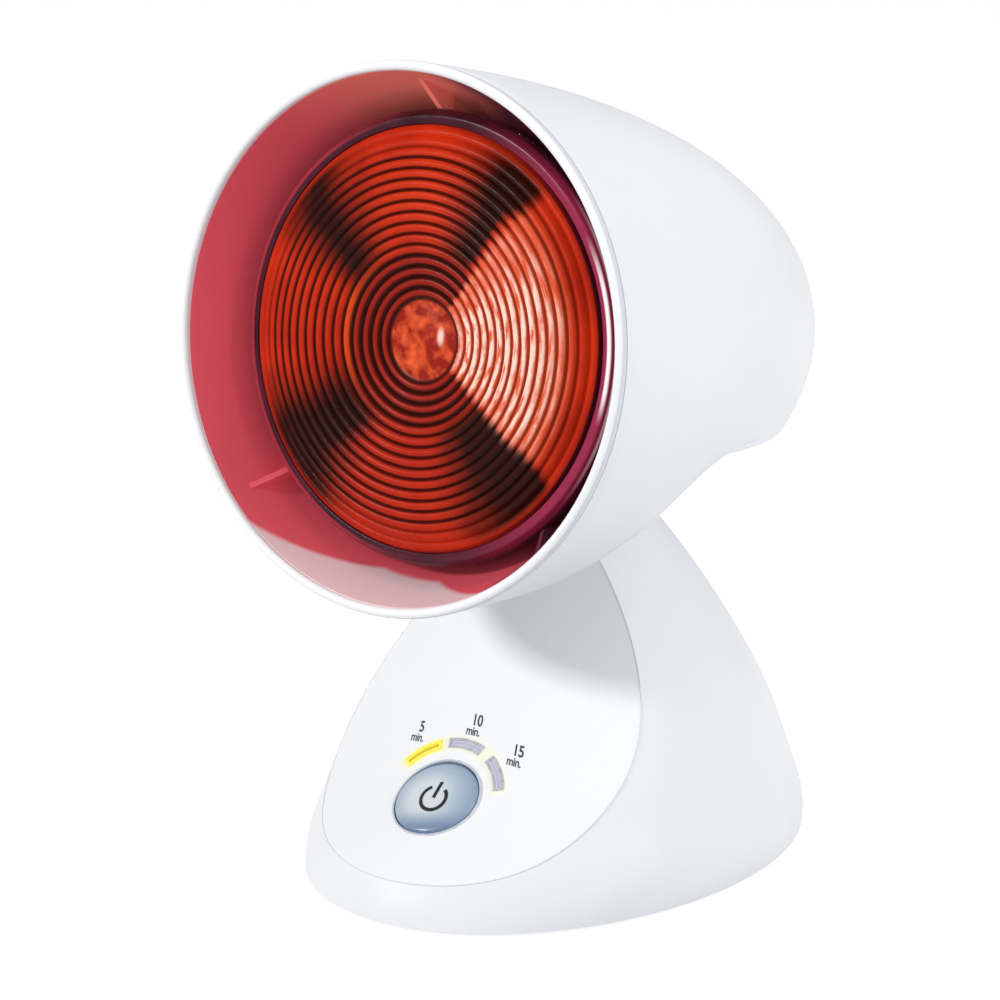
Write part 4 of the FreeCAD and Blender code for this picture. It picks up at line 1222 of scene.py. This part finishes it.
@dataclass
class Assembly:
    """A sub-assembly, with the finishes of the CAD nodes that stay in it."""

    fitter: Fitter
    finishes: tuple[tuple[str, Finish], ...] = ()

    def build(self) -> None:
        """Dress the CAD nodes that stay."""
        for node, finish in self.finishes:
            self.fitter.paint(frame["nodes"][node], finish)
            LOG.info("%s dressed", node)


@dataclass
class Shade(Assembly):
    """The egg-shaped shade with its mouth ring, heat shield, fins and underside."""

    radius: float = 72.9 * MM
    length: float = 198.3 * MM
    lead: float = 12.0 * MM
    power: float = 2.15
    wall: float = 2.2 * MM
    front: float = 1.4 * MM
    egg_steps: int = 56
    shell_crease: float = 38.0
    lip_round: float = 0.35 * MM
    belly_drop: float = 28.0 * MM
    belly_corner: float = 65.0 * MM
    belly_slope: float = math.radians(48.5)
    belly_round: float = 34.0 * MM
    tool_low: float = -150 * MM
    tool_back: float = 220 * MM
    tool_half: float = 100 * MM
    shield_gap: float = 0.5 * MM
    ring_shelf: float = 70.4 * MM
    ring_inner: float = 70.15 * MM
    ring_back: float = 7.0 * MM
    ring_steps: int = 192
    ring_crease: float = 50.0
    shield_front: float = 0.9 * MM
    shield_wall: float = 1.2 * MM
    shield_crease: float = 40.0
    knee: Point = (22.0 * MM, 64.9 * MM)
    waist: Point = (40.0 * MM, 51.4 * MM)
    tail: Point = (66.0 * MM, 26.5 * MM)
    finishes: tuple[tuple[str, Finish], ...] = (
        ("centring_fins", LIT_SHIELD_ENAMEL), ("underside_cover", COVER_WHITE))

    def egg(self, inset: float) -> list[Point]:
        """Find the shade's curve.

        Args:
            inset: How far the curve is drawn in.

        Returns:
            Points as (depth, radius), from the mouth to the tail.
        """
        reach = self.length - inset
        first = math.asin(((self.front + self.lead) / reach) ** (self.power / 2))
        points = []
        for step in range(self.egg_steps):
            angle = first + (math.pi / 2 - first) * step / self.egg_steps
            points.append((reach * math.sin(angle) ** (2 / self.power) - self.lead,
                           (self.radius - inset) * math.cos(angle) ** (2 / self.power)))
        return [*points, (reach - self.lead, 0.0)]

    def belly(self, lift: float) -> Object:
        """Make a tool of the space under the shade.

        Args:
            lift: How far its upper side is lifted into the shade.

        Returns:
            The tool.
        """
        corner_depth = self.belly_corner - lift * math.tan(self.belly_slope / 2)
        corner_up = lift - self.belly_drop
        radius = self.belly_round + lift
        tangent = radius * math.tan(self.belly_slope / 2)
        start = math.degrees(math.pi / 2 + self.belly_slope)
        curve = arc_points((corner_depth + tangent, corner_up - radius), radius, start, 90.0, 24)
        run = (curve[0][1] - self.tool_low) / math.tan(self.belly_slope)
        outline = [(curve[0][0] - run, self.tool_low), *curve, (self.tool_back, corner_up),
                   (self.tool_back, self.tool_low)]
        return Bench.press("belly_tool", [Vector((-self.tool_half, depth, up)) for depth, up in outline],
                           Vector((2 * self.tool_half, 0, 0)))

    def shell(self) -> None:
        """Outer shell: the turned egg with its underside cut away."""
        outer = self.egg(0.0)
        piece = Bench.turn("shade", [*outer, *reversed(self.egg(self.wall)), outer[0]])
        Bench.cut(piece, self.belly(self.wall))
        Bench.ease(piece, self.lip_round)
        self.fitter.fit_head(piece, self.shell_crease, "shade_white", SHADE_WHITE, "shade_shell")

    def ring(self) -> None:
        """White ring that rolls over the mouth's edge."""
        middle = (self.radius + self.ring_inner) / 2
        nose = arc_points((0.0, middle), self.radius - middle, 270.0, 90.0, 14)
        outline = [
            *nose,
            (0.85 * MM, self.radius - 0.05 * MM),
            (1.0 * MM, self.radius - 0.45 * MM),
            (1.1 * MM, self.ring_shelf),
            (self.ring_back, self.ring_shelf),
            (self.ring_back, self.ring_inner),
            (0.7 * MM, self.ring_inner + 0.2 * MM),
            nose[0],
        ]
        self.fitter.fit_head(Bench.turn("mouth_ring", outline, self.ring_steps), self.ring_crease,
                             "shade_white", RollWhite(), "mouth_rim")

    def shield_line(self, outset: float) -> list[Point]:
        """Line of the heat shield from its front to its tail, moved outwards.

        Args:
            outset: How far the line is moved.

        Returns:
            The points of the line.
        """
        return rounded([
            (self.shield_front, self.ring_inner - 0.12 * MM + outset, 0.0),
            (self.knee[0], self.knee[1] + outset, 20 * MM),
            (self.waist[0] + 0.5 * outset, self.waist[1] + outset, 14 * MM),
            (self.tail[0] + 0.7 * outset, self.tail[1] + 0.7 * outset, 0.0),
        ], 10)

    def shield(self) -> None:
        """Enamelled heat shield behind the ring."""
        inner = self.shield_line(0.0)
        piece = Bench.turn("heat_shield", [*inner, *reversed(self.shield_line(self.shield_wall)), inner[0]])
        Bench.cut(piece, self.belly(self.wall + self.shield_gap))
        self.fitter.fit_head(piece, self.shield_crease, "liner_enamel", LIT_SHIELD_ENAMEL, "heat_liner")

    def build(self) -> None:
        """Build and dress every piece of the shade."""
        self.shell()
        self.ring()
        self.shield()
        super().build()


@dataclass
class Bulb(Assembly):
    """The ruby reflector bulb."""

    rib_height: float = 0.8 * MM
    rib_steps: int = 8
    eye_steps: int = 6
    level: float = 14.9 * MM
    swell: float = 4.0 * MM
    swell_power: float = 1.5
    lens_wall: float = 2.2 * MM
    lens_radius: float = EYE_RADIUS + RIB_PITCH * RIB_COUNT
    radius: float = 61.0 * MM
    seam: float = 19.0 * MM
    lens_crease: float = 60.0
    edge_crease: float = 50.0
    finishes: tuple[tuple[str, Finish], ...] = (
        ("bulb_reflector", MIRROR), ("bulb_cap", BRASS), ("bulb_contact", BRASS), ("bulb_filament", WIRE))

    def depth(self, radius: float) -> float:
        """Find the smooth lens's depth: level at the eye and the edge, swollen between.

        Args:
            radius: Distance from the axis.

        Returns:
            The depth behind the mouth.
        """
        share = (radius - EYE_RADIUS) / (self.lens_radius - EYE_RADIUS)
        way = share ** self.swell_power
        return self.level - 4 * self.swell * way * (1 - way)

    def lens(self) -> None:
        """Front lens with its rounded ribs and domed eye."""
        points = []
        for share in (step / self.eye_steps for step in range(self.eye_steps)):
            points.append((self.level - self.rib_height * (1 - share ** 2), EYE_RADIUS * share))
        for step in range(RIB_COUNT * self.rib_steps + 1):
            radius = EYE_RADIUS + RIB_PITCH * step / self.rib_steps
            phase = (step % self.rib_steps) / self.rib_steps
            points.append((self.depth(radius) - self.rib_height * math.sin(math.pi * phase) ** 0.8, radius))
        back = self.depth(self.lens_radius) + self.lens_wall
        points += [(back, self.lens_radius + 0.3 * MM), (back, 0.0)]
        self.fitter.fit_head(Bench.turn("ruby_lens", points), self.lens_crease, "ruby_glass", RubyGlass(),
                             "bulb_lens")

    def edge(self) -> None:
        """Thick rounded edge of the lens, down to the seam with the reflector."""
        start = self.depth(self.lens_radius)
        corners = [
            (start + 1.0 * MM, self.lens_radius - 0.2 * MM, 0.0),
            (start - 0.5 * MM, self.lens_radius + 0.2 * MM, 0.5 * MM),
            (start - 0.5 * MM, self.radius - 1.4 * MM, 1.2 * MM),
            (start + 2.2 * MM, self.radius, 1.4 * MM),
            (self.seam, self.radius, 0.4 * MM),
            (self.seam, self.lens_radius - 0.2 * MM, 0.0),
        ]
        piece = Bench.turn("bulb_edge", rounded([*corners, corners[0]], 6))
        self.fitter.fit_head(piece, self.edge_crease, "ruby_glass", DeepGlass())

    def build(self) -> None:
        """Build and dress every piece of the bulb."""
        self.lens()
        self.edge()
        super().build()


@dataclass
class Lampholder(Assembly):
    """The ceramic lampholder, its metal and the tilt neck."""

    finishes: tuple[tuple[str, Finish], ...] = (
        ("lamp_socket", Porcelain()), ("socket_shell", BRASS), ("socket_contact", BRASS),
        ("socket_bracket", STEEL), ("socket_screws", STEEL), ("tilt_neck", NECK_GREY))


@dataclass
class Marking:
    """A number with the short word under it, printed beside a timer light."""

    number: str
    across: float
    along: float


@dataclass
class Controls(Assembly):
    """The start button, the timer lights and the print round them."""

    dish: Dish = Dish()
    number_height: float = 3.4 * MM
    word_height: float = 2.6 * MM
    word_drop: float = 3.45 * MM
    capital_share: float = 0.7
    letter_space: float = 0.95
    letter_weight: float = 0.03
    letter_width: float = 0.78
    print_rise: float = 0.04 * MM
    print_shear: float = -0.37
    markings: tuple[Marking, ...] = (
        Marking("5", -16.7 * MM, 21.1 * MM),
        Marking("10", 1.0 * MM, 26.0 * MM),
        Marking("15", 17.5 * MM, 20.0 * MM),
    )
    side_depth: float = 0.15 * MM
    seam_radius: float = 0.17 * MM
    button_width: float = 11.75 * MM
    button_turn: float = math.radians(20.0)
    button_skirt: float = 2.2 * MM
    button_proud: float = 1.9 * MM
    button_dome: float = 60.0 * MM
    button_shares: tuple[float, ...] = (
        1.0, 0.995, 0.985, 0.97, 0.95, 0.92, 0.86, 0.78, 0.68, 0.56, 0.42, 0.26, 0.1)
    symbol_centre: Point = (0.35 * MM, -0.95 * MM)
    symbol_radius: float = 3.85 * MM
    symbol_half: float = 0.54 * MM
    symbol_bar: float = 5.5 * MM
    copies: tuple[tuple[str, str, str, Finish, float], ...] = (
        ("button_ring", "button_bezel", "trim_silver", RING_TRIM, 0.18 * MM),
        ("light_frames", "light_bezels", "trim_silver", BEZEL_TRIM, 0.2 * MM),
        ("light_lens_5", "window_5", "light_amber", AMBER, 0.12 * MM),
        ("light_lens_10", "window_10", "light_clear", CLEAR, 0.12 * MM),
        ("light_lens_15", "window_15", "light_clear", CLEAR, 0.12 * MM),
    )

    def crown(self, share: float) -> float:
        """Height of the button's dome at a share of its half-length."""
        round_off = 0.65 * MM * max(0.0, (share - 0.9) / 0.1) ** 2
        return self.button_proud - (share * BUTTON_LENGTH) ** 2 / (2 * self.button_dome) - round_off

    def button(self) -> None:
        """Domed oval button, pulled up ring by ring from its skirt."""
        Bench.clear()
        bpy.ops.mesh.primitive_circle_add(vertices=96, radius=BUTTON_LENGTH, fill_type="NGON",
                                          location=(0, 0, -self.button_skirt))
        piece = Bench.named("start_key")
        piece.scale = (1.0, self.button_width / BUTTON_LENGTH, 1.0)
        piece.rotation_euler = (0, 0, self.button_turn)
        Bench.apply_place(piece)

        def pull() -> None:
            """Pull the face up and in, ring by ring."""
            height, previous = -self.button_skirt, 1.0
            for share in self.button_shares:
                rise = self.crown(share) - height
                bpy.ops.mesh.extrude_region_move(TRANSFORM_OT_translate={"value": (0, 0, rise)})
                bpy.ops.transform.resize(value=(share / previous, share / previous, 1.0),
                                         center_override=(0, 0, 0))
                height += rise
                previous = share
            Bench.face_out()

        Bench.edit(piece, pull)
        Bench.smooth(piece, 50.0)
        Bench.seat(piece, BUTTON_SEAT)
        self.fitter.fit(piece, Body.BUTTON, "button_pearl", Pearl(), "start_button")

    def wrap(self, piece: Object, over: Callable[[float, float, float], Vector]) -> None:
        """Lay a flat piece over a surface, point by point.

        Args:
            piece: The flat piece.
            over: The surface, as a function of a flat point.
        """
        for vertex in piece.data.vertices:
            vertex.co = over(*vertex.co)
        piece.data.update()

    def over_button(self, across: float, along: float, rise: float) -> Vector:
        """Point over the button's dome."""
        share = math.hypot(across, along) / BUTTON_LENGTH
        return BUTTON_SEAT.matrix() @ Vector((across, along, self.crown(share) + rise))

    def word(self, name: str, text: str, height: float, across: float, along: float) -> None:
        """Print a word on the panel.

        Args:
            name: The piece's name.
            text: What it says.
            height: Height of its capitals.
            across: Its middle, to the right of the middle line.
            along: Its middle, up the panel from the button.
        """
        Bench.clear()
        bpy.ops.object.text_add(location=(0, 0, 0))
        piece = Bench.named(name)
        letters = piece.data
        letters.body = text
        letters.align_x = letters.align_y = "CENTER"
        letters.size = height / self.capital_share
        letters.space_character = self.letter_space
        letters.offset = self.letter_weight * height
        letters.shear = self.print_shear
        letters.resolution_u = 6
        piece.scale = (self.letter_width, 1.0, 1.0)
        piece.location = (across, along, self.print_rise)
        Bench.hold(piece)
        bpy.ops.object.convert(target="MESH")
        piece = bpy.context.active_object
        Bench.apply_place(piece)

        def split_faces() -> None:
            """Split the letters' faces so that they bend with the panel."""
            bpy.ops.mesh.remove_doubles(threshold=WELD)
            bpy.ops.mesh.quads_convert_to_tris()
            bpy.ops.mesh.subdivide(number_cuts=1)

        Bench.edit(piece, split_faces)
        self.wrap(piece, self.dish.point)
        Bench.modify(piece, "SHRINKWRAP", target=frame["nodes"]["control_panel"], offset=self.print_rise,
                     wrap_method="NEAREST_SURFACEPOINT", wrap_mode="ABOVE_SURFACE")
        self.fitter.fit(piece, Body.BASE, "black_plastic", INK)

    def print_markings(self) -> None:
        """Numbers and short words beside the lights."""
        for mark in self.markings:
            self.word(f"number_{mark.number}", mark.number, self.number_height, mark.across, mark.along)
            self.word(f"minutes_{mark.number}", "min.", self.word_height, mark.across,
                      mark.along - self.word_drop)

    def power_symbol(self) -> None:
        """Open ring with a bar, printed on the button."""
        centre_x, centre_y = self.symbol_centre
        ring = arc_points(self.symbol_centre, self.symbol_radius, 124.0, 416.0, 48)
        bar = [(centre_x, centre_y + self.symbol_bar * step / 11) for step in range(12)]
        piece = Bench.join("power_symbol", [self.stroke("power_ring", ring), self.stroke("power_bar", bar)])
        self.wrap(piece, self.over_button)
        self.fitter.fit(piece, Body.BUTTON, "black_plastic", BLACK_INK)

    def stroke(self, name: str, points: Sequence[Point]) -> Object:
        """Draw a flat stroke of even width just over its plane.

        Args:
            name: The piece's name.
            points: The points of its line.

        Returns:
            The stroke.
        """
        left, right = [], []
        for index, point in enumerate(points):
            before = Vector(points[max(index - 1, 0)])
            after = Vector(points[min(index + 1, len(points) - 1)])
            side = (after - before).orthogonal().normalized() * self.symbol_half
            left.append(Vector((*(Vector(point) + side), self.print_rise)))
            right.append(Vector((*(Vector(point) - side), self.print_rise)))
        joined = Bench.join(name, [Bench.trace(name, left), Bench.trace(f"{name}_other", right)])
        Bench.edit(joined, bpy.ops.mesh.bridge_edge_loops)
        return joined

    def panel_face(self) -> None:
        """Control panel with its side in the base's finish, and the fine seam along its edge."""
        piece = Bench.copy_node("control_panel", "panel_face")
        Bench.smooth(piece, 30.0)
        self.fitter.fit(piece, Body.BASE, "panel_white", PanelGloss(), "control_panel")
        mesh = piece.data
        mesh.materials.append(self.fitter.material(BASE_WHITE))
        sides: dict[tuple[int, int], set[int]] = {}
        for face in mesh.polygons:
            face.material_index = int(self.dish.depth(face.center) > self.side_depth)
            for key in face.edge_keys:
                sides.setdefault(key, set()).add(face.material_index)
        links: dict[int, list[int]] = {}
        for (first, second), found in sides.items():
            if len(found) > 1:
                links.setdefault(first, []).append(second)
                links.setdefault(second, []).append(first)
        self.seam([mesh.vertices[index].co.copy() for index in max(self.loops(links), key=len)])

    @staticmethod
    def loops(links: dict[int, list[int]]) -> list[list[int]]:
        """Walk along linked vertices.

        Args:
            links: The neighbours of each vertex.

        Returns:
            The vertices, loop by loop.
        """
        found, seen = [], set()
        for start in links:
            loop, here = [], start
            while here is not None:
                loop.append(here)
                seen.add(here)
                here = next((index for index in links[here] if index not in seen), None)
            found.append(loop)
        return found

    def seam(self, points: Sequence[Vector]) -> None:
        """Run the fine grey seam along a closed line.

        Args:
            points: The line's points.
        """
        Bench.hold(Bench.trace("panel_seam", [*points, points[0]]))
        bpy.ops.object.convert(target="CURVE")
        curve = bpy.context.object.data
        curve.bevel_depth = self.seam_radius
        curve.bevel_resolution = 1
        bpy.ops.object.convert(target="MESH")
        piece = bpy.context.object
        Bench.smooth(piece, 60.0)
        self.fitter.fit(piece, Body.BASE, "panel_white", SEAM_GREY)

    def build(self) -> None:
        """Build and dress every piece of the controls."""
        self.button()
        self.power_symbol()
        self.print_markings()
        self.panel_face()
        for node, name, slot, finish, width in self.copies:
            piece = Bench.copy_node(node, name)
            Bench.ease(piece, width, 1)
            Bench.smooth(piece, 30.0)
            self.fitter.fit(piece, Body.BASE, slot, finish, node)


@dataclass
class Base(Assembly):
    """The domed base with its pivot and what is inside it."""

    finishes: tuple[tuple[str, Finish], ...] = (
        ("base_shell", BASE_WHITE), ("axle_caps", BASE_WHITE), ("tilt_axle", STEEL),
        ("friction_washers", STEEL), ("switch_plunger", BLACK_PLASTIC), ("light_diodes", RESIN),
        ("circuit_board", Laminate()), ("board_posts", BASE_WHITE), ("switch_body", BLACK_PLASTIC),
        ("relay", RELAY_BLUE), ("transformer", STACKED), ("terminal_block", BLACK_PLASTIC),
        ("cord_gland", BLACK_PLASTIC), ("bottom_plate", UNDER_GREY), ("ballast", STACKED),
        ("rubber_feet", FOOT_RUBBER), ("bottom_screws", STEEL))


@dataclass
class Studio(Assembly):
    """Pale floor, soft light and the camera."""

    target: Triple = (-22.11 * MM, 0.0, 99.48 * MM)
    azimuth: float = math.radians(35.29)
    elevation: float = math.radians(12.42)
    distance: float = 769.75 * MM
    lens: float = 93.6
    sensor: float = 36.0
    clip: Point = (0.01, 50.0)
    floor_size: float = 12.0
    sky: Colour = (0.965, 0.975, 1.0, 1.0)
    sky_strength: float = 0.51
    lit_point: Triple = (0.0, 0.0, 0.12)
    lamps: tuple[tuple[str, Triple, float, float, Triple], ...] = (
        ("key", (-0.76, -1.5, 0.765), 0.2, 15.8, (1.0, 0.99, 0.97)),
        ("fill", (1.45, 0.1, 0.6), 0.9, 10.8, (1.0, 1.0, 1.0)),
        ("top", (-0.1, 0.1, 1.7), 0.8, 5.5, (1.0, 1.0, 1.0)),
    )

    def aim(self, name: str, data: bpy.types.ID, place: Vector, target: Vector) -> Object:
        """Set up a camera or a lamp.

        Args:
            name: Its name.
            data: What it is.
            place: Where it stands.
            target: The point that it looks at.

        Returns:
            Its object.
        """
        thing = bpy.data.objects.new(name, data)
        thing.location = place
        thing.rotation_euler = (target - place).to_track_quat("-Z", "Y").to_euler()
        bpy.context.scene.collection.objects.link(thing)
        return thing

    def camera(self) -> None:
        """Camera on the lamp's three-quarter view."""
        data = bpy.data.cameras.new("camera")
        data.sensor_width = self.sensor
        data.lens = self.lens
        data.clip_start, data.clip_end = self.clip
        back = Vector((
            math.sin(self.azimuth) * math.cos(self.elevation),
            -math.cos(self.azimuth) * math.cos(self.elevation),
            math.sin(self.elevation),
        ))
        target = Vector(self.target)
        bpy.context.scene.camera = self.aim("camera", data, target + back * self.distance, target)

    def lamp(self, name: str, place: Triple, size: float, power: float, colour: Triple) -> None:
        """Hang a soft square light, aimed at the lit point.

        Args:
            name: Its name.
            place: Where it hangs.
            size: Its width and height.
            power: Its power in watts.
            colour: Its colour.
        """
        data = bpy.data.lights.new(name, "AREA")
        data.shape = "RECTANGLE"
        data.size = data.size_y = size
        data.energy = power
        data.color = colour
        self.aim(name, data, Vector(place), Vector(self.lit_point))

    def floor(self) -> None:
        """Pale paper under the lamp."""
        Bench.clear()
        bpy.ops.mesh.primitive_plane_add(size=self.floor_size)
        floor = Bench.named("floor")
        self.fitter.paint(floor, FloorPaper())

    def world(self) -> None:
        """Soft bluish sky light that the camera sees as white."""
        world = bpy.data.worlds.new("studio")
        bpy.context.scene.world = world
        world.use_nodes = True
        nodes, links = world.node_tree.nodes, world.node_tree.links
        soft = nodes["Background"]
        white, path, seen, mix = (nodes.new(f"ShaderNode{kind}")
                                  for kind in ("Background", "LightPath", "Math", "MixShader"))
        soft.inputs["Color"].default_value = self.sky
        soft.inputs["Strength"].default_value = self.sky_strength
        white.inputs["Color"].default_value = WHITE_LIGHT
        seen.operation = "MAXIMUM"
        for start, finish in (
            (path.outputs["Is Camera Ray"], seen.inputs[0]),
            (path.outputs["Is Transmission Ray"], seen.inputs[1]),
            (seen.outputs[0], mix.inputs[0]),
            (soft.outputs[0], mix.inputs[1]),
            (white.outputs[0], mix.inputs[2]),
            (mix.outputs[0], nodes["World Output"].inputs["Surface"]),
        ):
            links.new(start, finish)

    def build(self) -> None:
        """Set the whole studio up."""
        self.camera()
        self.floor()
        self.world()
        for lamp in self.lamps:
            self.lamp(*lamp)
        bpy.context.scene.view_settings.view_transform = "Standard"


def main() -> None:
    """Build every sub-assembly in order."""
    logging.basicConfig(level=logging.INFO, format="%(name)s: %(message)s")
    fitter = Fitter()
    for assembly in (Shade(fitter), Bulb(fitter), Lampholder(fitter), Base(fitter), Controls(fitter),
                     Studio(fitter)):
        assembly.build()
        LOG.info("%s finished", type(assembly).__name__)


if __name__ == "__main__":
    main()
